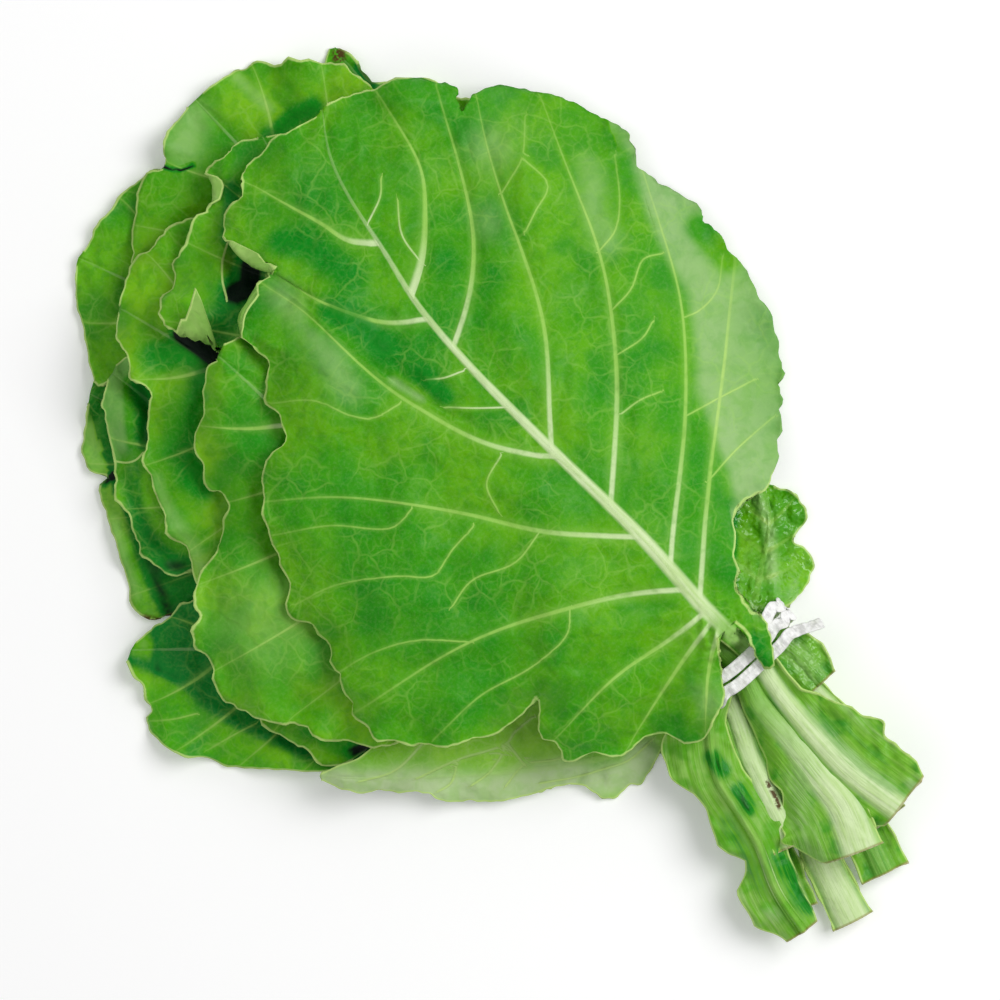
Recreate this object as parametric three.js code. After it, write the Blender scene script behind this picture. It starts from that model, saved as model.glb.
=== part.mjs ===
// Collard greens: twelve leaves in one bunch, held by a ribbon tie round their stems.
//
// Millimetres, +Z up. The bunch lies on its side with the cut stems towards -Y and the leaf
// tips towards +Y. Everything is laid out in plan round the tie, which is at x = y = 0, and the
// finished bunch is then moved so that the origin is at the middle of its base.

import * as THREE from 'three';

// ---------------------------------------------------------------- driving dimensions

const bladeThickness = 1.2;
const stemAtCut = { halfWidth: 5.4, height: 9 };
const stemAtTie = { halfWidth: 3.6, height: 7.2 };
const stemAtBlade = { halfWidth: 3.5, height: 6.2 };
const ribAtTip = { halfWidth: 1.2, height: 1.8 };
const wingAtTie = 0.5;
const wingAtBlade = 3;

// A stalk's section in shares of its height, measured down from its top, and of its half width.
const stalk = {
  groove: 0.07, // its top is slightly hollow
  shoulder: 0.22,
  wingMiddle: 0.27,
  wingEdge: 0.3,
  flankDepth: 0.66,
  backWidth: 0.6, // its back is narrower than its shoulders
};
const ribFlankDepth = 0.62; // of a midrib's height, where it meets the blade
const fullRuffleWidth = 60; // a blade narrower than this from rib to edge waves less

const stemRows = 7;
const bladeRows = 12;
const columnShares = [1, 0.66, 0.32, 0]; // from the leaf's edge in to the side of its midrib

const airGap = 1.3; // between one leaf and the next
const drapeReach = 18; // how stiffly a leaf bridges what is under it
const raiseRounds = 3;
const tableContact = 2.2; // a leaf that comes this near the table lies flat on it
const cell = 3; // of the height map that the leaves are laid on
const walkSpacing = 1.8; // between the points of a face that are marked on that map
const mapLow = { x: -215, y: -125 };
const mapCells = { x: 115, y: 148 };

const tie = {
  halfWidth: 23.6,
  low: 0.6,
  high: 32,
  corner: 0.42, // how round the loop is: 1 is an ellipse, less is boxier
  ribbon: 4.6,
  thickness: 0.9,
  pitch: 5.6, // along the stems, from turn to turn
  tail: 20,
  tailSpread: 3, // along the stems, one tail each way
  tailLift: 4,
  start: 0.3 * Math.PI, // up and to the right, where the tails leave the loop
  stepsPerTurn: 30,
};

// ---------------------------------------------------------------- the twelve leaves

// From the lowest to the top one. `stem` runs in plan from the cut end to the tie, `heights`
// are the middle of the stem above the table at those two ends, `rib` runs from the foot of
// the blade to its tip, and `right` and `left` are the two edges of the blade, from its foot
// to its tip. `wings` are the widths of the leafy strips along the cut end, left and right.
// `ruffle` is [height, waves along an edge, phase], and `cup` lifts or drops the edges.

const leafPlans = [
  {
    name: 'narrow_leaf',
    color: 0x7fb35a,
    stem: [[-38, -99], [-21, -48], [-4.9, 0]],
    heights: [4.5, 6],
    wings: [3, 3],
    rib: [[-17, 62], [-58, 110], [-98, 164], [-126, 226]],
    right: [[-12, 64], [2, 100], [-26, 160], [-66, 212], [-100, 236], [-120, 233]],
    left: [[-22, 60], [-74, 74], [-126, 112], [-150, 150], [-148, 190], [-132, 224]],
    ruffle: [3, 3, 0.4],
    cup: 4,
  },
  {
    name: 'lower_leaf',
    color: 0x4f8f2c,
    stem: [[-50, -84], [-33, -42], [-13.8, 0]],
    heights: [4.5, 6],
    wings: [2, 2],
    rib: [[-34, 44], [-80, 74], [-128, 104], [-176, 134]],
    right: [[-30, 49], [-48, 96], [-96, 140], [-146, 158], [-168, 156], [-178, 141]],
    left: [[-40, 38], [-84, 34], [-128, 54], [-158, 88], [-176, 112], [-182, 128]],
    ruffle: [4, 3, 1.5],
    cup: 5,
  },
  {
    name: 'outer_leaf',
    color: 0x62a531,
    stem: [[-14, -97], [-5, -48], [4.6, 0]],
    heights: [4.5, 6],
    wings: [4, 3],
    rib: [[0, 80], [-22, 140], [-52, 212], [-82, 276]],
    right: [[5, 80], [42, 130], [30, 200], [-12, 262], [-54, 284], [-78, 282]],
    left: [[-6, 78], [-62, 110], [-102, 168], [-110, 222], [-104, 252], [-88, 272]],
    ruffle: [4, 3, 2.6],
    cup: 3,
  },
  {
    name: 'back_leaf',
    color: 0x3f7d26,
    stem: [[12, -70], [13, -34], [13.8, 0]],
    heights: [4.5, 6],
    wings: [3, 3],
    rib: [[18, 70], [34, 130], [44, 200], [42, 266]],
    right: [[23, 69], [66, 96], [90, 150], [84, 208], [64, 242], [47, 265]],
    left: [[13, 71], [-4, 120], [6, 190], [22, 240], [37, 266]],
    ruffle: [4, 3, 3.7],
    cup: 2,
  },
  {
    name: 'looped_leaf',
    color: 0x3a8a22,
    stem: [[-35, -64], [-25, -32], [-13.8, 0]],
    heights: [14.6, 13.9],
    wings: [2, 2],
    rib: [[-26, 60], [-62, 108], [-94, 160], [-118, 218]],
    right: [[-21, 63], [-14, 112], [-44, 180], [-84, 226], [-113, 223]],
    left: [[-31, 56], [-84, 70], [-124, 112], [-138, 160], [-136, 190], [-124, 214]],
    ruffle: [5, 3, 0.9],
    cup: 6,
  },
  {
    name: 'tip_leaf',
    color: 0x8cc152,
    stem: [[17, -60], [16, -30], [13.8, 0]],
    heights: [14.6, 13.9],
    wings: [2, 3],
    rib: [[12, 90], [4, 150], [-6, 222], [-12, 290]],
    right: [[17, 90], [52, 120], [62, 186], [50, 252], [26, 281], [-7, 291]],
    left: [[7, 90], [-40, 130], [-58, 196], [-54, 252], [-36, 282], [-17, 290]],
    ruffle: [5, 4, 1.9],
    cup: 2,
  },
  {
    name: 'upper_leaf',
    color: 0x4c9a22,
    stem: [[-20, -80], [-13, -40], [-4.6, 0]],
    heights: [14.6, 13.9],
    wings: [2, 2],
    rib: [[-13, 66], [-36, 124], [-56, 196], [-66, 264]],
    right: [[-8, 67], [16, 110], [22, 176], [2, 244], [-34, 276], [-61, 269]],
    left: [[-18, 65], [-70, 76], [-114, 116], [-126, 166], [-112, 210], [-88, 246], [-71, 264]],
    ruffle: [5, 4, 3.2],
    cup: -2,
  },
  {
    name: 'curled_leaf',
    color: 0x57a52a,
    stem: [[-3, -80], [0, -40], [4.6, 0]],
    heights: [14.6, 13.9],
    wings: [3, 2],
    rib: [[2, 72], [-12, 128], [-28, 192], [-36, 252]],
    right: [[7, 73], [38, 110], [40, 176], [24, 232], [-2, 262], [-31, 258]],
    left: [[-3, 71], [-48, 96], [-72, 146], [-76, 200], [-68, 238], [-41, 254]],
    ruffle: [6, 4, 0.2],
    cup: 5,
  },
  {
    name: 'wrapping_leaf',
    color: 0x93b878,
    stem: [[-51, -88], [-38, -46], [-13.4, 0]],
    heights: [23.4, 21.8],
    wings: [9, 6],
    rib: [[-18, 20], [-52, 34], [-96, 50], [-142, 67]],
    right: [[-15, 27], [-36, 62], [-74, 90], [-114, 98], [-138, 86], [-144, 72]],
    left: [[-24, 14], [-40, -8], [-60, -13], [-80, -3], [-104, 18], [-128, 42], [-143, 62]],
    ruffle: [4, 3, 2.2],
    cup: -3,
  },
  {
    name: 'left_leaf',
    color: 0x86c441,
    stem: [[-28, -76], [-14, -38], [-3.7, 0]],
    heights: [27, 21.8],
    wings: [11, 2],
    rib: [[-12, 56], [-42, 104], [-66, 160], [-80, 210]],
    right: [[-7, 58], [10, 96], [6, 150], [-26, 196], [-56, 212], [-75, 211]],
    left: [[-17, 54], [-70, 56], [-124, 76], [-148, 112], [-140, 150], [-108, 176], [-85, 208]],
    ruffle: [6, 4, 1.1],
    cup: -2,
  },
  {
    name: 'small_leaf',
    color: 0x4fae2e,
    stem: [[23, -26], [20, -12], [16.8, 0]],
    heights: [20.5, 21.8],
    wings: [2, 3],
    scale: 0.5,
    rib: [[19, 13], [27, 19], [39, 26], [53, 32]],
    right: [[21, 11], [32, 7], [42, 10], [46, 19], [55, 24], [56, 29]],
    left: [[17, 15], [22, 29], [34, 37], [50, 35]],
    ruffle: [3, 2, 0.5],
    cup: 0,
  },
  {
    name: 'front_leaf',
    color: 0x3f9c14,
    stem: [[8.5, -76], [7.5, -36], [6, 0]],
    heights: [24.4, 24],
    wings: [2, 14],
    rib: [[2, 24], [5, 90], [11, 165], [12, 252]],
    right: [
      [7, 19], [30, 26], [58, 38], [84, 66], [98, 100], [101, 150],
      [98, 192], [80, 214], [62, 230], [40, 250], [18, 257],
    ],
    left: [
      [-4, 17], [-22, -4], [-52, -8], [-74, 16], [-92, 45], [-120, 70],
      [-112, 116], [-90, 160], [-62, 194], [-34, 226], [-26, 250], [6, 258],
    ],
    ruffle: [5, 5, 1.3],
    cup: -4,
  },
];

// ---------------------------------------------------------------- small helpers

const lerp = THREE.MathUtils.lerp;
const smoothstep = THREE.MathUtils.smoothstep;

function planCurve(points) {
  return new THREE.SplineCurve(points.map(([x, y]) => new THREE.Vector2(x, y)));
}

// ---------------------------------------------------------------- height map

function cellOf(x, y) {
  const column = THREE.MathUtils.clamp(Math.round((x - mapLow.x) / cell), 0, mapCells.x - 1);
  const row = THREE.MathUtils.clamp(Math.round((y - mapLow.y) / cell), 0, mapCells.y - 1);
  return row * mapCells.x + column;
}

function newField(value) {
  return new Float32Array(mapCells.x * mapCells.y).fill(value);
}

// A running window over the rows and then the columns of a field.
function windowed(field, reach, combine) {
  let from = field;
  for (const [along, count, across, lines] of [
    [1, mapCells.x, mapCells.x, mapCells.y],
    [mapCells.x, mapCells.y, 1, mapCells.x],
  ]) {
    const to = newField(0);
    for (let line = 0; line < lines; line++) {
      for (let i = 0; i < count; i++) {
        const values = [];
        for (let j = Math.max(0, i - reach); j <= Math.min(count - 1, i + reach); j++) {
          values.push(from[line * across + j * along]);
        }
        to[line * across + i * along] = combine(values);
      }
    }
    from = to;
  }
  return from;
}

const highest = (values) => Math.max(...values);
const lowest = (values) => Math.min(...values);

function average(values) {
  const known = values.filter(Number.isFinite);
  return known.length ? known.reduce((sum, value) => sum + value, 0) / known.length : -Infinity;
}

// Visits closely spaced points of a leaf's upper or lower faces.
function walkFaces(rows, side, visit) {
  for (let r = 0; r + 1 < rows.length; r++) {
    for (let c = 0; c + 1 < rows[r].length; c++) {
      const [a, b, d, e] = [rows[r][c], rows[r][c + 1], rows[r + 1][c + 1], rows[r + 1][c]];
      walkTriangle([a, b, d], side, visit);
      walkTriangle([a, d, e], side, visit);
    }
  }
}

function walkTriangle(corners, side, visit) {
  const [a, b, d] = corners.map((point) => new THREE.Vector3(point.x, point.y, point[side]));
  const long = Math.max(a.distanceTo(b), b.distanceTo(d), d.distanceTo(a));
  const steps = Math.max(1, Math.ceil(long / walkSpacing));
  for (let i = 0; i <= steps; i++) {
    for (let j = 0; i + j <= steps; j++) {
      const at = a.clone().lerp(b, i / steps).addScaledVector(d.clone().sub(a), j / steps);
      visit(at.x, at.y, at.z);
    }
  }
}

function undersideOf(rows) {
  const field = newField(Infinity);
  walkFaces(rows, 'bottom', (x, y, z) => {
    const at = cellOf(x, y);
    field[at] = Math.min(field[at], z);
  });
  return windowed(field, 1, lowest);
}

function addTopside(map, rows) {
  const field = newField(-Infinity);
  walkFaces(rows, 'top', (x, y, z) => {
    const at = cellOf(x, y);
    field[at] = Math.max(field[at], z);
  });
  windowed(field, 1, highest).forEach((z, at) => {
    map[at] = Math.max(map[at], z);
  });
}

// ---------------------------------------------------------------- one leaf

// Each row is a section of the leaf from its left edge to its right edge.
function stemSections(plan) {
  const scale = plan.scale ?? 1;
  const spine = planCurve([...plan.stem, plan.rib[0]]);
  const tieShare = (plan.stem.length - 1) / plan.stem.length;
  const [cutHeight, tieHeight] = plan.heights;
  const rows = [];
  for (let r = 0; r < stemRows; r++) {
    const t = r / stemRows;
    const middle = spine.getPoint(t);
    const ahead = spine.getTangent(t);
    const below = Math.min(t / tieShare, 1);
    const beyond = Math.max((t - tieShare) / (1 - tieShare), 0);
    const mix = (cut, atTie, atBlade) => lerp(lerp(cut, atTie, below), atBlade, beyond);
    const half = scale * mix(stemAtCut.halfWidth, stemAtTie.halfWidth, stemAtBlade.halfWidth);
    const deep = scale * mix(stemAtCut.height, stemAtTie.height, stemAtBlade.height);
    const height = lerp(cutHeight, tieHeight, below) + deep / 2;
    const row = [];
    for (const [side, wing] of [[-1, plan.wings[0]], [1, plan.wings[1]]]) {
      const strip = Math.max(wingAtTie, mix(wing, wingAtTie, wingAtBlade));
      const wingBottom = stalk.wingEdge * deep + bladeThickness;
      const flank = [
        [half + strip, stalk.wingEdge * deep, wingBottom],
        [half + strip / 2, stalk.wingMiddle * deep, wingBottom],
        [half, stalk.shoulder * deep, stalk.flankDepth * deep],
        [half * stalk.backWidth, 0, deep],
      ].map(([out, top, bottom]) => ({
        x: middle.x + side * out * ahead.y,
        y: middle.y - side * out * ahead.x,
        top: height - top,
        bottom: height - bottom,
      }));
      row.push(...(side < 0 ? flank : flank.reverse()));
      if (side < 0) {
        const groove = height - stalk.groove * deep;
        row.push({ x: middle.x, y: middle.y, top: groove, bottom: height - deep });
      }
    }
    row.beyondTie = beyond;
    rows.push(row);
  }
  return rows;
}

function bladeSections(plan) {
  const scale = plan.scale ?? 1;
  const rib = planCurve(plan.rib);
  const edges = { [-1]: planCurve(plan.left), 1: planCurve(plan.right) };
  const [ruffleHeight, waves, phase] = plan.ruffle;
  const rows = [];
  for (let r = 0; r < bladeRows; r++) {
    const t = r / (bladeRows - 1);
    const middle = rib.getPointAt(t);
    const ahead = rib.getTangentAt(t);
    const half = scale * lerp(stemAtBlade.halfWidth, ribAtTip.halfWidth, t);
    const deep = scale * lerp(stemAtBlade.height, ribAtTip.height, t);
    const row = [];
    for (const side of [-1, 1]) {
      const edge = edges[side].getPointAt(t);
      const foot = new THREE.Vector2(side * half * ahead.y, -side * half * ahead.x).add(middle);
      const wide = foot.distanceTo(edge) / fullRuffleWidth;
      const flank = columnShares.map((share) => {
        const wave = ruffleHeight * share ** 2 * Math.sin(2 * Math.PI * waves * t + phase + side);
        const top = (wave + plan.cup * share ** 2) * Math.min(wide, 1);
        const at = foot.clone().lerp(edge, share);
        return { x: at.x, y: at.y, top, bottom: top - (share ? bladeThickness : deep * ribFlankDepth) };
      });
      row.push(...(side < 0 ? flank : flank.reverse()));
      if (side < 0) {
        row.push({ x: middle.x, y: middle.y, top: 0, bottom: -deep });
      }
    }
    rows.push(row);
  }
  return rows;
}

function raiseRow(row, by) {
  for (const point of row) {
    const own = typeof by === 'number' ? by : by(point);
    point.top += own;
    point.bottom += own;
  }
}

// Raises a blade by a field of heights. The foot of the blade rises in one, and takes the stem
// with it as far as the tie.
function raiseLeaf(stem, blade, field, footBase) {
  const at = (point) => field[cellOf(point.x, point.y)];
  const foot = Math.max(...blade[0].map(at));
  raiseRow(blade[0], foot);
  blade.slice(1).forEach((row) => raiseRow(row, at));
  stem.forEach((row) => raiseRow(row, row.beyondTie * (foot - footBase)));
}

// Lays the blade on whatever is under it.
function layOn(map, plan) {
  const stem = stemSections(plan);
  const blade = bladeSections(plan);
  const reach = Math.round(drapeReach / cell);
  const stemTop = plan.heights[1] + (plan.scale ?? 1) * (stemAtBlade.height / 2);

  const under = undersideOf(blade);
  const need = map.map((z, at) => (Number.isFinite(under[at]) ? z + airGap - under[at] : -Infinity));
  raiseLeaf(stem, blade, windowed(windowed(need, reach, highest), reach, average), stemTop);

  // A blade that still dips into what is under it is raised round that place.
  for (let round = 0; round < raiseRounds; round++) {
    const now = undersideOf(blade);
    const short = map.map((z, at) => (Number.isFinite(now[at]) ? Math.max(0, z + airGap - now[at]) : 0));
    raiseLeaf(stem, blade, windowed(short, reach, highest), 0);
  }
  return [...stem, ...blade];
}

// Lays the parts of a blade that come close to the table flat on it.
function settle(blade) {
  for (const point of blade.flat()) {
    if (point.bottom < tableContact) {
      point.top += -point.bottom;
      point.bottom = 0;
    }
  }
}

// A closed shell: upper faces, lower faces, and a rim all the way round.
function shellOf(rows) {
  const columns = rows[0].length;
  const count = rows.length * columns;
  const positions = [];
  for (const side of ['top', 'bottom']) {
    for (const point of rows.flat()) positions.push(point.x, point.y, point[side]);
  }
  const index = [];
  for (let r = 0; r + 1 < rows.length; r++) {
    for (let c = 0; c + 1 < columns; c++) {
      const a = r * columns + c;
      const [b, d, e] = [a + 1, a + columns + 1, a + columns];
      index.push(a, b, d, a, d, e);
      index.push(count + a, count + d, count + b, count + a, count + e, count + d);
    }
  }
  const rim = [];
  for (let c = 0; c + 1 < columns; c++) rim.push(c);
  for (let r = 0; r + 1 < rows.length; r++) rim.push(r * columns + columns - 1);
  for (let c = columns - 1; c > 0; c--) rim.push((rows.length - 1) * columns + c);
  for (let r = rows.length - 1; r > 0; r--) rim.push(r * columns);
  rim.forEach((a, i) => {
    const b = rim[(i + 1) % rim.length];
    index.push(a, count + a, count + b, a, count + b, b);
  });
  return geometryFrom(positions, index);
}

function geometryFrom(positions, index) {
  const geometry = new THREE.BufferGeometry();
  geometry.setAttribute('position', new THREE.Float32BufferAttribute(positions, 3));
  geometry.setIndex(index);
  geometry.computeVertexNormals();
  return geometry;
}

function leafMaterial(color) {
  return new THREE.MeshStandardMaterial({ color, roughness: 0.5, metalness: 0 });
}

// ---------------------------------------------------------------- the tie

// Two turns of flat ribbon round the stems, with a free tail at each end.
function tieGeometry() {
  const middle = (tie.low + tie.high) / 2;
  const tall = (tie.high - tie.low) / 2;
  const steps = 2 * tie.stepsPerTurn;
  const round = (value) => Math.sign(value) * Math.abs(value) ** tie.corner;
  const stations = [];
  for (let i = 0; i <= steps; i++) {
    const turns = i / tie.stepsPerTurn;
    const angle = tie.start + turns * 2 * Math.PI;
    const x = tie.halfWidth * round(Math.cos(angle));
    stations.push(new THREE.Vector3(x, tie.pitch * (turns - 1), middle + tall * round(Math.sin(angle))));
  }
  const tailFrom = (end, next, spread) => {
    const out = end.clone().sub(next).normalize();
    return end.clone().addScaledVector(out, tie.tail).add(new THREE.Vector3(0, spread, tie.tailLift));
  };
  stations.unshift(tailFrom(stations[0], stations[1], -tie.tailSpread));
  stations.push(tailFrom(stations.at(-1), stations.at(-2), tie.tailSpread));

  const positions = [];
  const hub = new THREE.Vector3(0, 0, middle);
  stations.forEach((at, i) => {
    const along = stations[Math.min(i + 1, stations.length - 1)].clone().sub(stations[Math.max(i - 1, 0)]);
    const out = at.clone().sub(hub).setY(0);
    const wide = along.clone().cross(out).normalize().multiplyScalar(tie.ribbon / 2);
    const thick = wide.clone().cross(along).normalize().multiplyScalar(tie.thickness / 2);
    for (const [w, t] of [[-1, -1], [1, -1], [1, 1], [-1, 1]]) {
      const corner = at.clone().addScaledVector(wide, w).addScaledVector(thick, t);
      positions.push(corner.x, corner.y, corner.z);
    }
  });
  const index = [];
  for (let i = 0; i + 1 < stations.length; i++) {
    for (let k = 0; k < 4; k++) {
      const a = i * 4 + k;
      const b = i * 4 + ((k + 1) % 4);
      index.push(a, b + 4, b, a, a + 4, b + 4);
    }
  }
  const last = (stations.length - 1) * 4;
  index.push(0, 1, 2, 0, 2, 3, last, last + 2, last + 1, last, last + 3, last + 2);
  return geometryFrom(positions, index);
}

// ---------------------------------------------------------------- the bunch

const bunch = new THREE.Group();
const map = newField(-airGap);
for (const plan of leafPlans) {
  const rows = layOn(map, plan);
  settle(rows.slice(stemRows + 1));
  addTopside(map, rows);
  const leaf = new THREE.Mesh(shellOf(rows), leafMaterial(plan.color));
  leaf.name = plan.name;
  bunch.add(leaf);
}

const ribbon = new THREE.Mesh(
  tieGeometry(),
  new THREE.MeshStandardMaterial({ color: 0xeeece6, roughness: 0.45, metalness: 0 }),
);
ribbon.name = 'twist_tie';
bunch.add(ribbon);

const box = new THREE.Box3().setFromObject(bunch);
const centre = box.getCenter(new THREE.Vector3());
bunch.position.set(-centre.x, -centre.y, -box.min.z);

const group = new THREE.Group();
group.add(bunch);

export default group;
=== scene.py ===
# A tied bunch of collard greens lying on a pale table: twelve leaves and the ribbon that holds them.
# Lengths are millimetres in plan round the middle of the tie, and place() turns them into metres.
import math
import bpy
import numpy as np
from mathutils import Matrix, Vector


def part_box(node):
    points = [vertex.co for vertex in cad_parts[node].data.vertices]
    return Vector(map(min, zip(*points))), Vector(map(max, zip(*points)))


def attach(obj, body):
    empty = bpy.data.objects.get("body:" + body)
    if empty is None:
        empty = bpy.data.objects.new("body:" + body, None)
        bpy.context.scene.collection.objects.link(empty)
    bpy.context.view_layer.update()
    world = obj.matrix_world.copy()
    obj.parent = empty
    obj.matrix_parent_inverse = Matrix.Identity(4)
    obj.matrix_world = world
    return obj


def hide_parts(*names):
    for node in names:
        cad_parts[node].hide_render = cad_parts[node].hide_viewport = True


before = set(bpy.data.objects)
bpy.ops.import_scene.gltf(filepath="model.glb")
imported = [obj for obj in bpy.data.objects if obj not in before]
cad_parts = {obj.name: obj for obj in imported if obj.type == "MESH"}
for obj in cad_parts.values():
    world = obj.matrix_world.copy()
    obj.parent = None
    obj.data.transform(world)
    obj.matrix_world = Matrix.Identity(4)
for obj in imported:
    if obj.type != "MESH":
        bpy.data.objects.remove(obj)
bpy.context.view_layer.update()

mm = 0.001
tieLow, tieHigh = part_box("twist_tie")
tieReach = 24.05                                  # from the tie's middle to its left side
neckX = tieLow[0] / mm + tieReach
neckY = (tieLow[1] + tieHigh[1]) / 2 / mm


def place(points):
    return (np.asarray(points, float) + (neckX, neckY, 0)) * mm


# camera, light and table

view = {"turn": -43.2, "lens": 192, "above": 2.0, "aim": (-26.4, 104.4)}


def addCamera():
    camera = bpy.data.objects.new("camera", bpy.data.cameras.new("camera"))
    camera.data.lens = view["lens"]
    camera.data.clip_end = 10
    camera.location = place((*view["aim"], 0)) + (0, 0, view["above"])
    camera.rotation_euler = (0, 0, math.radians(view["turn"]))
    bpy.context.collection.objects.link(camera)
    bpy.context.scene.camera = camera


# azimuth is measured from the right of the camera's view, rise from the table
lamps = {
    "window": {"azimuth": 25, "rise": 52, "away": 1.6, "size": 1.0, "power": 17},
    "fill": {"azimuth": 200, "rise": 60, "away": 1.8, "size": 1.6, "power": 5},
}
skyStrength = 0.38
white = (1, 1, 1, 1)
paperWhite = (0.97, 0.97, 0.97, 1)
tableTop = {"size": 6, "below": 0.0004, "roughness": 0.7, "glow": 0.12}   # metres


def addLights():
    middle = place((*view["aim"], 20))
    for name, lamp in lamps.items():
        azimuth = math.radians(lamp["azimuth"] + view["turn"])
        rise = math.radians(lamp["rise"])
        level = math.cos(rise)
        way = np.array((math.cos(azimuth) * level, math.sin(azimuth) * level, math.sin(rise)))
        light = bpy.data.objects.new(name, bpy.data.lights.new(name, "AREA"))
        light.data.energy = lamp["power"]
        light.data.size = lamp["size"]
        light.location = middle + way * lamp["away"]
        light.rotation_euler = (math.pi / 2 - rise, 0, azimuth + math.pi / 2)
        bpy.context.collection.objects.link(light)
    world = bpy.data.worlds.new("studio")
    world.use_nodes = True
    sky = world.node_tree.nodes["Background"]
    sky.inputs["Color"].default_value = white
    sky.inputs["Strength"].default_value = skyStrength
    bpy.context.scene.world = world
    bpy.context.scene.view_settings.view_transform = "Standard"


def addTable():
    bpy.ops.mesh.primitive_plane_add(size=tableTop["size"], location=(0, 0, -tableTop["below"]))
    table = bpy.context.object
    table.name = "table"
    paper = bpy.data.materials.new("pale table")
    paper.use_nodes = True
    surface = paper.node_tree.nodes["Principled BSDF"]
    surface.inputs["Base Color"].default_value = paperWhite
    surface.inputs["Roughness"].default_value = tableTop["roughness"]
    surface.inputs["Emission Color"].default_value = white
    surface.inputs["Emission Strength"].default_value = tableTop["glow"]
    table.data.materials.append(paper)


addCamera()
addLights()
addTable()
print("camera, lights and table are in place")


# curves and ripples

def evenly(points, count):
    steps = np.linalg.norm(np.diff(points, axis=0), axis=1)
    along = np.concatenate([[0], np.cumsum(steps)])
    wanted = np.linspace(0, along[-1], count)
    return np.stack([np.interp(wanted, along, points[:, k]) for k in range(points.shape[1])], axis=1)


def smoothCurve(points, count=400):
    # a centripetal Catmull-Rom curve through the points, resampled evenly
    p = np.asarray(points, float)
    p = np.vstack([2 * p[0] - p[1], p, 2 * p[-1] - p[-2]])
    knots = np.concatenate([[0], np.cumsum(np.sqrt(np.linalg.norm(np.diff(p, axis=0), axis=1)))])
    pieces = []
    for i in range(1, len(p) - 2):
        t = np.linspace(knots[i], knots[i + 1], 30, endpoint=False)[:, None]

        def between(a, b, ka, kb):
            return (kb - t) / (kb - ka) * a + (t - ka) / (kb - ka) * b

        a1 = between(p[i - 1], p[i], knots[i - 1], knots[i])
        a2 = between(p[i], p[i + 1], knots[i], knots[i + 1])
        a3 = between(p[i + 1], p[i + 2], knots[i + 1], knots[i + 2])
        b1 = between(a1, a2, knots[i - 1], knots[i + 1])
        b2 = between(a2, a3, knots[i], knots[i + 2])
        pieces.append(between(b1, b2, knots[i], knots[i + 1]))
    return evenly(np.vstack(pieces + [p[-2:-1]]), count)


def pointAt(curve, share):
    at = np.asarray(share) * (len(curve) - 1)
    index = np.arange(len(curve))
    return np.stack([np.interp(at, index, curve[:, k]) for k in range(curve.shape[1])], axis=-1)


def shareOf(curve, point):
    return np.argmin(np.linalg.norm(curve - np.asarray(point, float), axis=1)) / (len(curve) - 1)


batch = 4000                                      # points compared at a time, to save memory


def nearest(points, curve):
    # distance to the curve, and the index of the closest of its points
    distance = np.empty(len(points))
    index = np.empty(len(points), int)
    for start in range(0, len(points), batch):
        part = points[start:start + batch]
        gaps = np.hypot(part[:, None, 0] - curve[None, :, 0], part[:, None, 1] - curve[None, :, 1])
        index[start:start + batch] = gaps.argmin(axis=1)
        distance[start:start + batch] = gaps.min(axis=1)
    return distance, index


def sideDistance(points, curve):
    # distance to the curve, positive on the left of its course, and the index of its closest point
    away, index = nearest(points, curve)
    ahead = np.gradient(curve, axis=0)[index]
    offset = points - curve[index]
    turn = ahead[:, 0] * offset[:, 1] - ahead[:, 1] * offset[:, 0]
    return np.where(turn < 0, -away, away), index


def ripples(seed, wavelength, x, y, count=12):
    # smooth uneven waves of about unit height
    chance = np.random.default_rng(seed)
    heading = chance.uniform(0, 2 * math.pi, count)
    number = 2 * math.pi / wavelength * chance.uniform(0.7, 1.4, count)
    phase = chance.uniform(0, 2 * math.pi, count)
    total = np.zeros(np.shape(x))
    for k in range(count):
        total += np.cos(number[k] * (x * math.cos(heading[k]) + y * math.sin(heading[k])) + phase[k])
    return total / math.sqrt(count / 2)


def smoothstep(value, low, high):
    # from 0 to 1 between low and high, with soft ends
    t = np.clip((value - low) / (high - low), 0, 1)
    return t * t * (3 - 2 * t)


# the ground that leaves are laid on: a height map of everything below

ground = {"cell": 2.0, "lowX": -215, "lowY": -125, "columns": 180, "rows": 220, "airGap": 0.8}


def newMap(value):
    return np.full((ground["rows"], ground["columns"]), float(value))


def inCells(value, low, count, last=1):
    return np.clip((value - ground[low]) / ground["cell"], 0, ground[count] - last)


def cellsOf(x, y):
    return (np.round(inCells(y, "lowY", "rows")).astype(int),
            np.round(inCells(x, "lowX", "columns")).astype(int))


def shifted(field, step, axis, fill):
    out = np.roll(field, step, axis=axis)
    edge = [slice(None), slice(None)]
    edge[axis] = slice(0, step) if step > 0 else slice(step, None)
    out[tuple(edge)] = fill
    return out


def widest(field, reach, pick=np.maximum, fill=-np.inf):
    # every cell takes the highest value within reach
    for axis in (0, 1):
        out = field.copy()
        for step in range(1, reach + 1):
            out = pick(out, shifted(field, step, axis, fill))
            out = pick(out, shifted(field, -step, axis, fill))
        field = out
    return field


def blurred(field, reach):
    # the mean within reach of the cells that have a value
    known = np.isfinite(field)
    total = np.where(known, field, 0.0)
    weight = known.astype(float)
    span = range(-reach, reach + 1)
    for axis in (0, 1):
        total, weight = [sum(shifted(part, step, axis, 0) if step else part for step in span)
                         for part in (total, weight)]
    return np.where(weight > 0, total / np.maximum(weight, 1e-9), -np.inf)


def sampled(field, x, y):
    # the field read between its cells
    u = inCells(x, "lowX", "columns", 1.001)
    v = inCells(y, "lowY", "rows", 1.001)
    c, r = u.astype(int), v.astype(int)
    u, v = u - c, v - r
    low = field[r, c] * (1 - u) + field[r, c + 1] * u
    high = field[r + 1, c] * (1 - u) + field[r + 1, c + 1] * u
    return low * (1 - v) + high * v


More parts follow.
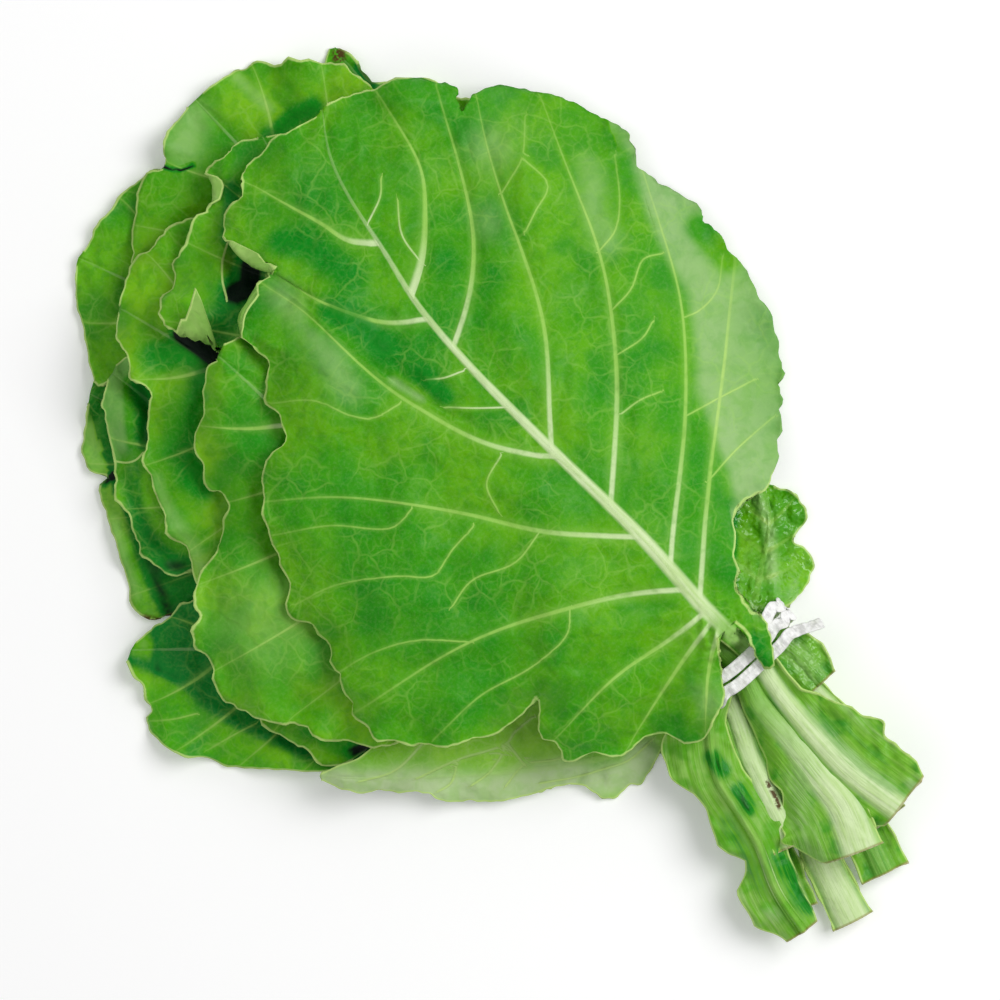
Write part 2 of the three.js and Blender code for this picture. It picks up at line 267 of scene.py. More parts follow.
def undersideMap(x, y, z):
    field = newMap(np.inf)
    np.minimum.at(field, cellsOf(x, y), z)
    return widest(field, 1, np.minimum, np.inf)


def addToGround(heights, x, y, z):
    field = newMap(-np.inf)
    np.maximum.at(field, cellsOf(x, y), z)
    np.maximum(heights, widest(field, 1), out=heights)


# one leaf: stalk, midrib and blade in one thin closed skin

growth = {
    "bladeThickness": 0.75,
    "stalkAtCut": {"halfWidth": 4.6, "deep": 8.6, "shoulder": 2.4},
    "stalkAtTie": {"halfWidth": 3.3, "deep": 7.0, "shoulder": 1.6},
    "ribAtFoot": {"halfWidth": 3.3, "deep": 5.6, "shoulder": 0.9},
    "ribAtTip": {"halfWidth": 0.4, "deep": 1.1, "shoulder": 0.1},
    "ribColumns": (0.25, 0.5, 0.7, 0.86, 0.95, 1.02, 1.3, 1.8),
    "veinRidge": 0.9,
    "stalkStep": 1.3,
    "easing": 24,
    "layings": 3,
    "ribZone": 1.35,                              # the rib's columns reach this far, in its half widths
    "ribMost": 0.22,                              # and at most over this share of the way to the margin
    "marginCrowding": 1.25,
    "narrowing": 0.8,
    "flattening": 0.7,
}
# points along each kind of curve
pointCount = {"rib": 500, "margin": 1400, "stalk": 400, "vein": 48, "rows": 3000, "branch": 120,
              "fold": 200, "spot": 60, "ridge": 80}
# side veins, and how far the rib stands up on a leaf that shows its underside
ribRaised = {"above": 0.55, "thinner": 0.4, "veinHalf": 0.9, "veinSunk": 0.25, "veinFades": 0.8}
# creases in the wings beside the stalk, and lumps at the neck and at the blade's foot
stalkCreases = {"height": 0.9, "length": 17, "shortLength": 7, "neckLength": 6, "footLength": 5,
                "footHeight": 0.75, "footReach": 9}
footGrip = 30                                     # how far the tie holds the blade's foot up
# veins that a leaf doesn't list: where they start and end, and how they bow towards the tip
veinSpread = {"ribFrom": 0.04, "ribSpan": 0.86, "marginFrom": 0.12, "marginSpan": 0.84,
              "lead": 0.6, "crowding": 0.9, "bows": ((0.35, 0.07), (0.7, 0.05))}
marginTeeth = {"least": 0.45, "patchLength": 55, "length": 13, "fineLength": 5.5, "taper": 12,
               "reach": 2.4}
usualRelief = {
    "cup": 0, "pucker": 1.0, "swell": 1.6, "ripple": 0.6, "fine": 0.18, "ruffle": 1.6, "crimp": 0.5,
    "swellLength": 62, "rippleLength": 24, "fineLength": 8, "ruffleLength": 30, "crimpLength": 10,
    "ruffleWidth": 11, "crimpWidth": 4,
}
# what a leaf has where its own list says nothing else
usualLeaf = {
    "slot": "leaf_green", "shows": "upper side", "size": 1.0, "reach": 12, "teeth": 0.75,
    "veinCount": 7, "veinHeight": 1, "leftVeins": None, "rightVeins": None, "neckCrumple": 0,
    "wingRise": (1, 1), "cream": ((0, 1), (1, 1)), "atCut": {}, "branches": (), "seams": (),
    "tones": (), "browns": (), "plainRims": (), "ridges": (), "folds": (), "flaps": (),
}


def veinGuides(side, rib, margin, leaf):
    # curves from the rib to the margin: the leaf's own veins, or evenly spread ones
    given = leaf[side + "Veins"]
    if given is None:
        given = []
        spread = veinSpread
        count = leaf["veinCount"]
        outward = 1 if side == "right" else -1
        for k in range(count):
            start = spread["ribFrom"] + spread["ribSpan"] * k / count
            crowded = ((k + spread["lead"]) / count) ** spread["crowding"]
            end = spread["marginFrom"] + spread["marginSpan"] * crowded
            a, b = pointAt(rib, start), pointAt(margin, end)
            ahead = pointAt(rib, min(start + 0.05, 1)) - a
            ahead = ahead / (np.linalg.norm(ahead) + 1e-9)
            aside = np.array((ahead[1], -ahead[0])) * outward
            span = np.linalg.norm(b - a)
            bent = [a + (b - a) * share + aside * bow * span for share, bow in spread["bows"]]
            given.append([a, *bent, b])
    return [smoothCurve(points, pointCount["vein"]) for points in given]


def toothDepths(margin, leaf, seed):
    # how far small uneven teeth stand out along the margin
    teeth = marginTeeth
    along = np.arange(len(margin)) * np.linalg.norm(margin[1] - margin[0])
    level = along * 0
    uneven = smoothstep(ripples(seed + 2, teeth["patchLength"], along, level), -1, 1)
    depth = leaf["teeth"] * (teeth["least"] + (1 - teeth["least"]) * uneven)
    bite = depth * ripples(seed, teeth["length"], along, level)
    bite = bite + 0.5 * depth * ripples(seed + 1, teeth["fineLength"], along, level)
    return bite * smoothstep(along, 0, teeth["taper"]) * smoothstep(along[-1] - along, 0, teeth["taper"])


def normalsOf(curve, outward):
    ahead = np.gradient(curve, axis=0)
    ahead /= np.linalg.norm(ahead, axis=1)[:, None] + 1e-9
    return outward * np.stack([ahead[:, 1], -ahead[:, 0]], axis=1)


def flapsOf(side, margin, marginShares, leaf):
    # rows whose margin is folded back: the flap's width, its radius and turn, and the way it points
    flap = {"width": np.zeros(len(marginShares)), "radius": np.ones(len(marginShares)),
            "turn": np.zeros(len(marginShares)), "way": np.zeros((len(marginShares), 2))}
    for fold in leaf["flaps"]:
        if fold["side"] != side:
            continue
        start, end = (shareOf(margin, fold[name]) for name in ("start", "end"))
        share = (marginShares - start) / (end - start)
        widths = np.interp(share, *zip(*fold["widths"])) * ((share > 0) & (share < 1))
        mine = widths > flap["width"]
        flap["width"] = np.where(mine, widths, flap["width"])
        flap["radius"][mine] = fold["radius"]
        flap["turn"][mine] = fold["turn"]
        flap["way"][mine] = np.array(fold["toward"]) / np.linalg.norm(fold["toward"])
    return flap


def veinEnds(guides, rib, margin):
    # where the veins leave the rib and meet the margin, as shares from the foot to the tip
    starts = np.array([0] + [shareOf(rib, guide[0]) for guide in guides] + [1.0])
    ends = np.array([0] + [shareOf(margin, guide[-1]) for guide in guides] + [1.0])
    return np.maximum.accumulate(starts + np.arange(len(starts)) * 1e-5), np.maximum.accumulate(ends)


def bladeSide(side, rib, margin, leaf, guides, knots, ribShares, ribZone):
    # rows of points from the rib to one margin, running between the veins as they do
    veins = len(guides)
    ribKnots, marginKnots = knots
    veinKnots = np.array([-0.5] + list(range(veins)) + [veins - 0.5])
    line = np.linspace(0, 1, pointCount["vein"])[:, None]
    first = rib[0] * (1 - line) + margin[0] * line
    last = rib[-1] * (1 - line) + margin[-1] * line
    family = np.stack([first] + guides + [last])
    j = np.clip(np.searchsorted(ribKnots, ribShares, "right") - 1, 0, veins)
    w = np.clip((ribShares - ribKnots[j]) / (ribKnots[j + 1] - ribKnots[j]), 0, 1)
    curves = family[j] * (1 - w)[:, None, None] + family[j + 1] * w[:, None, None]
    veinNumber = veinKnots[j] * (1 - w) + veinKnots[j + 1] * w
    marginShares = marginKnots[j] * (1 - w) + marginKnots[j + 1] * w
    # both ends of every curve are drawn onto the rib and the margin
    curves += (pointAt(rib, ribShares) - curves[:, 0])[:, None, :] * (1 - line) ** 2
    curves += (pointAt(margin, marginShares) - curves[:, -1])[:, None, :] * line ** 2.4
    lengths = np.linalg.norm(np.diff(curves, axis=1), axis=2)
    along = np.concatenate([np.zeros((len(curves), 1)), np.cumsum(lengths, axis=1)], axis=1)
    ribColumns = np.array(growth["ribColumns"])
    outer = leaf["columns"] - len(ribColumns)
    q = 1 - (1 - np.linspace(0, 1, outer + 1)[1:]) ** growth["marginCrowding"]
    points = np.empty((len(curves), leaf["columns"] + 1, 2))
    across, excess = np.empty((2, len(curves), leaf["columns"] + 1))
    flap = flapsOf(side, margin, marginShares, leaf)
    for r in range(len(curves)):
        whole = max(along[r, -1], 0.01)
        unit = min(ribZone[r], growth["ribMost"] * whole)
        near = ribColumns * unit
        wanted = np.concatenate([[0], near, near[-1] + (whole + flap["width"][r] - near[-1]) * q])
        across[r] = np.minimum(wanted / whole, 1)
        excess[r] = np.maximum(wanted - whole, 0)
        for k in (0, 1):
            points[r, :, k] = np.interp(wanted, along[r], curves[r, :, k])
    return points, across, np.repeat(veinNumber[:, None], leaf["columns"] + 1, axis=1), excess, flap


def rowShares(rib, margins, knots, count):
    # shares along the rib so that no step along the rib or either margin is long
    fine = np.linspace(0, 1, pointCount["rows"])
    step = np.linalg.norm(np.diff(pointAt(rib, fine), axis=0), axis=1)
    for margin, (ribKnots, marginKnots) in zip(margins, knots):
        ends = pointAt(margin, np.interp(fine, ribKnots, marginKnots))
        step = np.maximum(step, np.linalg.norm(np.diff(ends, axis=0), axis=1))
    total = np.concatenate([[0], np.cumsum(step)])
    return np.interp(np.linspace(0, total[-1], count), total, fine)


def mixed(share, name, low, high):
    return low[name] * (1 - share) + high[name] * share


def easeRows(blade, columns):
    # rows that come too close to one another are eased apart, but not beside the rib
    held = len(growth["ribColumns"]) + 1
    for side in (slice(0, columns - held + 1), slice(columns + held, None)):
        part = blade[:, side]
        for _ in range(growth["easing"]):
            around = part[2:, 1:-1] + part[:-2, 1:-1] + part[1:-1, 2:] + part[1:-1, :-2]
            part[1:-1, 1:-1] = 0.5 * part[1:-1, 1:-1] + 0.125 * around


def veinGaps(blade, vein):
    # the gap between neighbouring veins, measured square to the rows and evened out
    moved = np.gradient(blade, axis=0)
    numbered = np.abs(np.gradient(vein, axis=0)) + 1e-4
    reach = np.gradient(blade, axis=1)
    reach /= np.linalg.norm(reach, axis=2)[:, :, None] + 1e-9
    gap = np.abs(moved[..., 0] * reach[..., 1] - moved[..., 1] * reach[..., 0]) / numbered
    window = np.ones(9) / 9

    def evened(line):
        return np.convolve(np.pad(line, 4, mode="edge"), window, "valid")

    return np.apply_along_axis(evened, 0, np.clip(gap, 0.5, 60))


def roundTheLeaf(left, right):
    # what belongs to every third point of the margins, from the foot over the tip and back
    return np.concatenate([left[::3], right[::-3]])


def stalkPlan(leaf, rib, margins, seed):
    # square rows from the cut end to the foot of the blade, with the blade's wings beside them
    columns = leaf["columns"]
    spine = smoothCurve(list(leaf["stem"]) + [leaf["rib"][0]], pointCount["stalk"])
    tieShare = shareOf(spine, leaf["stem"][-1])
    length = np.linalg.norm(np.diff(spine, axis=0), axis=1).sum()
    count = max(8, int(length / growth["stalkStep"]))
    t = np.arange(count) / count
    middle = pointAt(spine, t)
    ahead = pointAt(spine, np.minimum(t + 0.01, 1)) - pointAt(spine, np.maximum(t - 0.01, 0))
    ahead /= np.linalg.norm(ahead, axis=1)[:, None]
    aside = np.stack([ahead[:, 1], -ahead[:, 0]], axis=1)
    below = np.clip(t / tieShare, 0, 1)           # 0 at the cut end, 1 from the tie on
    beyond = np.clip((t - tieShare) / (1 - tieShare), 0, 1)
    atCut = {**growth["stalkAtCut"], **leaf["atCut"]}
    narrowed = below ** growth["narrowing"]
    section = {name: leaf["size"] * ((1 - beyond) * mixed(narrowed, name, atCut, growth["stalkAtTie"])
                                     + beyond * growth["ribAtFoot"][name])
               for name in ("halfWidth", "deep", "shoulder")}
    rows = np.empty((count, 2 * columns + 1, 2))
    fromRib, edge, wingShare = np.zeros((3, count, 2 * columns + 1))
    inner = np.concatenate([[0], growth["ribColumns"]])
    q = np.linspace(0, 1, columns - len(inner) + 2)[1:]
    joining = smoothstep(t, 0.9, 1)
    for side, sign in enumerate((-1, 1)):
        wing = np.interp(t, *zip(*leaf["wings"][side]))
        wing = wing + 0.05 * wing * ripples(seed + 7 + side, 15, t * length, t * 0)
        wing = np.maximum(wing, 0.4)
        foot = abs(np.linalg.norm(pointAt(margins[side], 0) - rib[0]) - section["halfWidth"][-1])
        wing = wing * (1 - joining) + foot * joining
        mine = slice(columns, None, sign)         # from the middle outwards
        for r, half in enumerate(section["halfWidth"]):
            near = inner * half
            near = np.where(inner > 1, half + (inner - 1) * half * min(1, wing[r] / (2 * half)), near)
            last = max(half + wing[r], near[-1] + 0.2)
            wanted = np.concatenate([near, near[-1] + (last - near[-1]) * q])
            rows[r, mine] = middle[r] + sign * wanted[:, None] * aside[r]
            fromRib[r, mine] = wanted / half
            edge[r, mine] = wanted[-1] - wanted
            wingShare[r, mine] = sign * np.clip((wanted - half) / max(wing[r], 1), 0, 1)
    return {"xy": rows, "fromRib": fromRib, "edge": edge, "wing": wingShare, "section": section,
            "below": below, "beyond": beyond, "share": t[:, None], "length": length}


def leafPlan(leaf, seed):
    # the whole leaf in plan: rows from the cut end to the tip, columns from left to right
    rib = smoothCurve(leaf["rib"], pointCount["rib"])
    margins = [smoothCurve(leaf[side], pointCount["margin"]) for side in ("left", "right")]
    ribEnds = growth["ribAtFoot"], growth["ribAtTip"]
    size = leaf["size"]
    guides = [veinGuides(side, rib, margin, leaf) for side, margin in zip(("left", "right"), margins)]
    knots = [veinEnds(curves, rib, margin) for curves, margin in zip(guides, margins)]
    shares = rowShares(rib, margins, knots, leaf["rows"])
    ribZone = size * mixed(shares ** growth["narrowing"], "halfWidth", *ribEnds) * growth["ribZone"]
    sides = [bladeSide(side, rib, margins[k], leaf, guides[k], knots[k], shares, ribZone)
             for k, side in enumerate(("left", "right"))]
    *fields, flaps = zip(*sides)
    blade, across, vein, excess = [np.concatenate([left[:, :0:-1], right], axis=1)
                                   for left, right in fields]
    columns = leaf["columns"]
    flap = {name: np.repeat(np.stack([each[name] for each in flaps], axis=1),
                            [columns, columns + 1], axis=1)
            for name in ("width", "radius", "turn", "way")}
    shape = blade.shape[:2]

    easeRows(blade, columns)

    flat = blade.reshape(-1, 2)
    toRib, ribIndex = nearest(flat, rib[::2])
    ribIndex = ribIndex * 2 / (len(rib) - 1)
    half = size * mixed(ribIndex ** growth["narrowing"], "halfWidth", *ribEnds)
    fromRib = (toRib / half).reshape(shape)
    fromRib[:, columns] = 0
    section = {name: size * mixed(ribIndex ** growth["flattening"], name, *ribEnds).reshape(shape)
               for name in ("deep", "shoulder")}
    section["halfWidth"] = half.reshape(shape)

    # how far it is to the margin, and the teeth that push it in and out
    edge, near = nearest(flat, roundTheLeaf(*margins))
    edge = edge.reshape(shape)
    edge[:, [0, -1]] = 0
    bites = [toothDepths(margin, leaf, seed + 3 * k) for k, margin in enumerate(margins)]
    bite = roundTheLeaf(*bites)[near].reshape(shape)
    out = roundTheLeaf(normalsOf(margins[0], -1), normalsOf(margins[1], 1))[near].reshape(*shape, 2)
    bite = bite * np.exp(-edge / marginTeeth["reach"])
    free = flap["width"] == 0
    edge = edge + np.maximum(flap["width"] - excess, 0)
    toothed = blade + out * (bite * free)[..., None]

    stalk = stalkPlan(leaf, rib, margins, seed)
    share, length = stalk["share"], stalk["length"]
    footDistance = np.linalg.norm(blade - rib[0], axis=2)
    footCream = 1 - (1 - leaf["cream"][-1][1]) * np.exp(-(footDistance / 7) ** 2)

    def joined(inStalk, inBlade):
        # one field for stalk and blade, each given as a number, a value per row or a whole field
        parts = ((inStalk, stalk["edge"].shape), (inBlade, shape))
        return np.concatenate([np.ones(extent) * part for part, extent in parts])

    plan = {
        "xy": np.concatenate([stalk["xy"], toothed]),
        "way": np.concatenate([stalk["xy"] * 0, flap["way"]]),
        "grain": np.dstack([joined(stalk["fromRib"] * stalk["section"]["halfWidth"][:, None],
                                   toRib.reshape(shape)),
                            joined(share * length, length + ribIndex.reshape(shape) * 250)]),
        "fromRib": joined(stalk["fromRib"], fromRib), "edge": joined(stalk["edge"], edge),
        "across": joined(0.1, across), "vein": joined(-0.5, vein), "gap": joined(30, veinGaps(blade, vein)),
        "excess": joined(0, excess), "radius": joined(1, flap["radius"]), "turn": joined(0, flap["turn"]),
        "along": joined(0, shares[:, None]), "stalk": joined(1 - smoothstep(share, 0.85, 1.0), 0),
        "cream": joined(np.interp(share, *zip(*leaf["cream"])), footCream), "cut": joined(0, 0),
        "wing": stalk["wing"], "beyond": stalk["beyond"], "below": stalk["below"],
        "stalkRows": len(share), "rib": rib, "footDistance": footDistance,
    }
    plan["cut"][0] = 1
    for name, values in stalk["section"].items():
        plan[name] = joined(values[:, None], section[name])
    return plan


def bladeRelief(leaf, plan, seed):
    # heights of the blade before it is laid down: cup, waves, puckers between the veins
    x, y = plan["xy"][..., 0], plan["xy"][..., 1]
    relief = {**usualRelief, **leaf["relief"]}

    def waves(name, step, count=12):
        return relief[name] * ripples(seed + step, relief[name + "Length"], x, y, count)

    edge = plan["edge"]
    inBlade = 1 - plan["stalk"]
    width = np.minimum(edge + plan["fromRib"] * plan["halfWidth"], 80)
    outer = np.clip(1 - edge / np.maximum(width, 1), 0, 1)
    z = relief["cup"] * outer ** 2 * np.clip(width / 50, 0, 1)
    between = np.abs(2 * (plan["vein"] - np.floor(plan["vein"])) - 1)
    pucker = (1 - between ** 2.2) * np.clip(plan["gap"] / 18, 0, 1) * smoothstep(plan["across"], 0.03, 0.3)
    z += relief["pucker"] * pucker * smoothstep(edge, 0, 10)
    free = smoothstep(plan["fromRib"] * plan["halfWidth"], 2, 25)
    z += waves("swell", 20) * free
    z += waves("ripple", 21) * free
    z += waves("fine", 22, 16) * smoothstep(plan["fromRib"], 1, 3)
    z += waves("ruffle", 23) * np.exp(-edge / relief["ruffleWidth"])
    z += waves("crimp", 24) * np.exp(-edge / relief["crimpWidth"])
    for ridge in leaf["ridges"]:
        away = nearest(plan["xy"].reshape(-1, 2), smoothCurve(ridge["line"], pointCount["ridge"]))[0]
        z += ridge["by"] * np.exp(-(away.reshape(x.shape) / ridge["size"]) ** 2)
    for fold in leaf["folds"]:
        # a crease: the blade stands high on its left side and drops sharply on its right side
        line = smoothCurve(fold["line"], pointCount["fold"])
        signed, index = sideDistance(plan["xy"].reshape(-1, 2), line)
        signed = signed.reshape(x.shape)
        along = (index / (len(line) - 1)).reshape(x.shape)
        hold = smoothstep(along, 0.02, 0.25) * smoothstep(1 - along, 0, 0.2)
        high = np.exp(-np.abs(signed) / fold["spread"])
        step = np.where(signed > 0, high, smoothstep(signed, -fold["sharp"], 0))
        pocket = np.where(signed <= 0, smoothstep(-signed, 0, fold["sharp"]) * high, 0)
        z += hold * (fold["rise"] * step - fold["drop"] * pocket)
    return z * inBlade


def layLeaf(leaf, plan, heights, seed):
    # the leaf's top and its thickness, laid down on what is below it
    x, y = plan["xy"][..., 0], plan["xy"][..., 1]
    n = plan["stalkRows"]
    toFoot = plan["footDistance"]
    s = np.minimum(plan["fromRib"], 1)
    ribTop = -plan["shoulder"] * s ** 2.2
    ribThick = (plan["deep"] - plan["shoulder"]) * np.sqrt(np.clip(1 - s ** 2, 0, 1))
    low = 1 - (1 - leaf["veinHeight"]) * smoothstep(toFoot, 4, 24)
    ribTop[n:] *= low
    ribThick[n:] *= low
    thick = growth["bladeThickness"] + ribThick
    veinAway = np.abs(plan["vein"] - np.round(plan["vein"])) * plan["gap"]
    ridge = growth["veinRidge"] * leaf["veinHeight"] * np.exp(-(veinAway / ribRaised["veinHalf"]) ** 2)
    ridge = ridge * (1 - ribRaised["veinFades"] * plan["across"])
    ridge *= (1 - plan["stalk"]) * smoothstep(plan["fromRib"], 0.9, 1.2)
    top = bladeRelief(leaf, plan, seed) + ribTop
    if leaf["shows"] == "underside":
        bulge = (thick - growth["bladeThickness"]) * ribRaised["above"]
        top = top + bulge + ridge
        thick = thick - bulge * ribRaised["thinner"]
    else:
        thick = thick + ridge
        top = top - ribRaised["veinSunk"] * ridge
    cutHeight, tieHeight = leaf["heights"]
    stemTop = cutHeight + (tieHeight - cutHeight) * plan["below"] + plan["deep"][:n, 0] / 2
    rises = leaf["wingRise"]
    lift = np.where(plan["wing"] < 0, rises[0], rises[1]) * np.abs(plan["wing"]) ** 1.5
    folds = stalkCreases
    crease = ripples(seed + 30, folds["length"], x[:n], y[:n])
    crease = crease + 0.5 * ripples(seed + 31, folds["shortLength"], x[:n], y[:n])
    crumple = leaf["neckCrumple"]
    neck = crumple * smoothstep(plan["beyond"], 0.0, 0.4) * smoothstep(1 - plan["beyond"], 0, 0.2)
    top[:n] += neck[:, None] * ripples(seed + 32, folds["neckLength"], x[:n], y[:n])
    lumps = folds["footHeight"] * crumple * np.exp(-(toFoot / folds["footReach"]) ** 2)
    lumps = lumps * smoothstep(plan["fromRib"][n:], 0.4, 1.4)
    top[n:] += lumps * ripples(seed + 32, folds["footLength"], x[n:], y[n:])
    risen = (lift + folds["height"] * crease * np.abs(plan["wing"])) * (1 - plan["beyond"])[:, None]
    top[:n] += stemTop[:, None] + risen

    reach = max(1, int(round(leaf["reach"] / ground["cell"])))
    bladeX, bladeY, bladeTop, bladeThick = x[n:], y[n:], top[n:], thick[n:]
    under = undersideMap(bladeX.ravel(), bladeY.ravel(), (bladeTop - bladeThick).ravel())
    need = np.where(np.isfinite(under), heights + ground["airGap"] - under, -np.inf)
    field = blurred(blurred(widest(need, reach), reach), max(1, reach // 2))
    footLift = tieHeight + plan["deep"][n - 1, 0] / 2
    base = sampled(field, bladeX, bladeY)
    ribFoot = max(footLift, sampled(field, plan["rib"][:1, 0], plan["rib"][:1, 1])[0])
    grip = 1 - smoothstep(toFoot, 0, footGrip)
    bladeTop += np.maximum(base, ribFoot * grip + base * (1 - grip))
    for _ in range(growth["layings"]):
        under = undersideMap(bladeX.ravel(), bladeY.ravel(), (bladeTop - bladeThick).ravel())
        short = np.where(np.isfinite(under), np.maximum(heights + ground["airGap"] - under, 0), 0)
        bladeTop += sampled(blurred(widest(short, 4, fill=0), 3), bladeX, bladeY)
    foot = bladeTop[0, leaf["columns"]]
    top[:n] += ((foot - stemTop[-1]) * plan["beyond"] ** 1.3)[:, None]
    return top, thick


def foldedFlaps(plan, points):
    # folds the flaps of the margin up and over, so that they show their other side
    angle = np.minimum(plan["excess"] / plan["radius"], plan["turn"])
    past = plan["excess"] - angle * plan["radius"]
    inward = -plan["radius"] * np.sin(angle) - past * np.cos(angle)
    points[..., :2] += plan["way"] * inward[..., None]
    points[..., 2] += plan["radius"] * (1 - np.cos(angle)) + past * np.sin(angle)
    return points


def gridNormals(points, folded):
    normal = np.cross(np.gradient(points, axis=1), np.gradient(points, axis=0))
    normal /= np.maximum(np.linalg.norm(normal, axis=2)[..., None], 1e-9)
    normal[~folded & (normal[..., 2] < 0.35)] = (0, 0, 1)
    return normal


def closedSkin(name, top, bottom, attributes, materials):
    # one closed mesh: the top, the underside, and a rim all the way round
    rows, columns = top.shape[:2]
    count = rows * columns
    index = np.arange(count).reshape(rows, columns)
    a, b, c, d = index[:-1, :-1], index[:-1, 1:], index[1:, 1:], index[1:, :-1]
    upper = np.stack([a, b, c, d], axis=-1).reshape(-1, 4)
    lower = np.stack([d, c, b, a], axis=-1).reshape(-1, 4) + count
    loop = np.concatenate([index[0, :-1], index[:-1, -1], index[-1, :0:-1], index[:0:-1, 0]])
    following = np.roll(loop, -1)
    rim = np.stack([following, loop, loop + count, following + count], axis=-1)
    faces = np.concatenate([upper, lower, rim])
    mesh = bpy.data.meshes.new(name)
    points = place(np.concatenate([top.reshape(-1, 3), bottom.reshape(-1, 3)]))
    mesh.vertices.add(len(points))
    mesh.vertices.foreach_set("co", points.ravel())
    mesh.loops.add(faces.size)
    mesh.loops.foreach_set("vertex_index", faces.ravel())
    mesh.polygons.add(len(faces))
    mesh.polygons.foreach_set("loop_start", np.arange(len(faces)) * 4)
    material = np.zeros(len(faces), int)
    material[len(upper):len(upper) + len(lower)] = 1
    mesh.polygons.foreach_set("material_index", material)
    mesh.polygons.foreach_set("use_smooth", np.ones(len(faces), bool))
    for key, values in attributes.items():
        kind, field = ("FLOAT_VECTOR", "vector") if values.ndim == 3 else ("FLOAT", "value")
        layer = mesh.attributes.new(key, kind, "POINT")
        layer.data.foreach_set(field, np.concatenate([values.ravel(), values.ravel()]).astype(np.float32))
    mesh.update(calc_edges=True)
    for finish in materials:
        mesh.materials.append(finish)
    piece = bpy.data.objects.new(name, mesh)
    bpy.context.collection.objects.link(piece)
    return piece


def lineDistances(lines, plan):
    # distance to the nearest of some drawn lines, plain and with its side as a sign
    flat = plan["xy"].reshape(-1, 2)
    side = np.full(len(flat), 20.0)
    for points in lines:
        away = sideDistance(flat, smoothCurve(points, pointCount["branch"]))[0]
        side = np.where(np.abs(away) < np.abs(side), away, side)
    side = side.reshape(plan["xy"].shape[:2])
    return np.abs(side), side


def spot(size, by, *line):
    # a soft spot round a point or along a line: its size, its strength and its points
    return {"size": size, "by": by, "line": line}


def sideSpot(size, reach, by, *edge):
    # a spot that starts over some size on the left of an edge and fades with its reach
    return {"size": size, "reach": reach, "by": by, "edge": edge}


def spotsOf(leaf, plan, name):
    # strength of the spots that the leaf lists under this name
    flat = plan["xy"].reshape(-1, 2)
    total = np.zeros(len(flat))
    for each in leaf[name]:
        if "edge" in each:
            inside = sideDistance(flat, smoothCurve(each["edge"], pointCount["ridge"]))[0]
            fading = np.exp(-(np.maximum(inside, 0) / each["reach"]) ** 2)
            share = smoothstep(inside, 0, each["size"]) * fading
        else:
            points = each["line"]
            line = smoothCurve(points, pointCount["spot"]) if len(points) > 1 else np.array(points, float)
            share = np.exp(-(nearest(flat, line)[0] / each["size"]) ** 2)
        total += each["by"] * share
    return total.reshape(plan["xy"].shape[:2])


def growLeaf(own, heights, materials, seed):
    # one leaf from its own list, laid on the ground so far and added to it
    leaf = {**usualLeaf, **own}
    plan = leafPlan(leaf, seed)
    top, thick = layLeaf(leaf, plan, heights, seed)
    upper = np.dstack([plan["xy"], top])
    upper = foldedFlaps(plan, upper)
    folded = plan["excess"] > 0
    lower = upper - gridNormals(upper, folded) * thick[..., None]
    lower[..., 2] = np.maximum(lower[..., 2], 0.05)
    upper[..., 2] = np.where(folded, upper[..., 2], np.maximum(upper[..., 2], lower[..., 2] + 0.3))
    addToGround(heights, upper[..., 0].ravel(), upper[..., 1].ravel(), upper[..., 2].ravel())
    tone = spotsOf(leaf, plan, "tones")
    unfolded = plan["xy"] - plan["way"] * plan["excess"][..., None]
    branch, branchSide = lineDistances(leaf["branches"], plan)
    seam, seamSide = lineDistances(leaf["seams"], plan)
    attributes = {
        "branch": branch, "branchSide": branchSide, "seam": seam, "seamSide": seamSide, "tone": tone,
        "brown": spotsOf(leaf, plan, "browns"), "cream": plan["cream"], "stalk": plan["stalk"],
        "veinNumber": plan["vein"], "veinGap": plan["gap"], "across": plan["across"],
        "fromRib": plan["fromRib"], "toEdge": plan["edge"] + spotsOf(leaf, plan, "plainRims"),
        "cutEnd": plan["cut"], "ribShare": plan["along"],
        "flat": np.dstack([unfolded + 37 * seed, tone * 0]),
        "grain": np.dstack([plan["grain"] + 13 * seed, tone * 0]),
    }
    piece = closedSkin(leaf["piece"], upper, lower, attributes, materials)
    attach(piece, "root")
    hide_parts(leaf["node"])
    triangles = len(piece.data.polygons) * 2
    print(leaf["piece"], "grown,", triangles, "triangles, top at", round(float(top.max()), 1), "mm")


# finishes

def linear(part):
    return part / 255 / 12.92 if part <= 10 else ((part / 255 + 0.055) / 1.055) ** 2.4


def colour(red, green, blue):
    # a colour as a paint chart gives it, 0 to 255, turned into linear light
    return (linear(red), linear(green), linear(blue), 1)


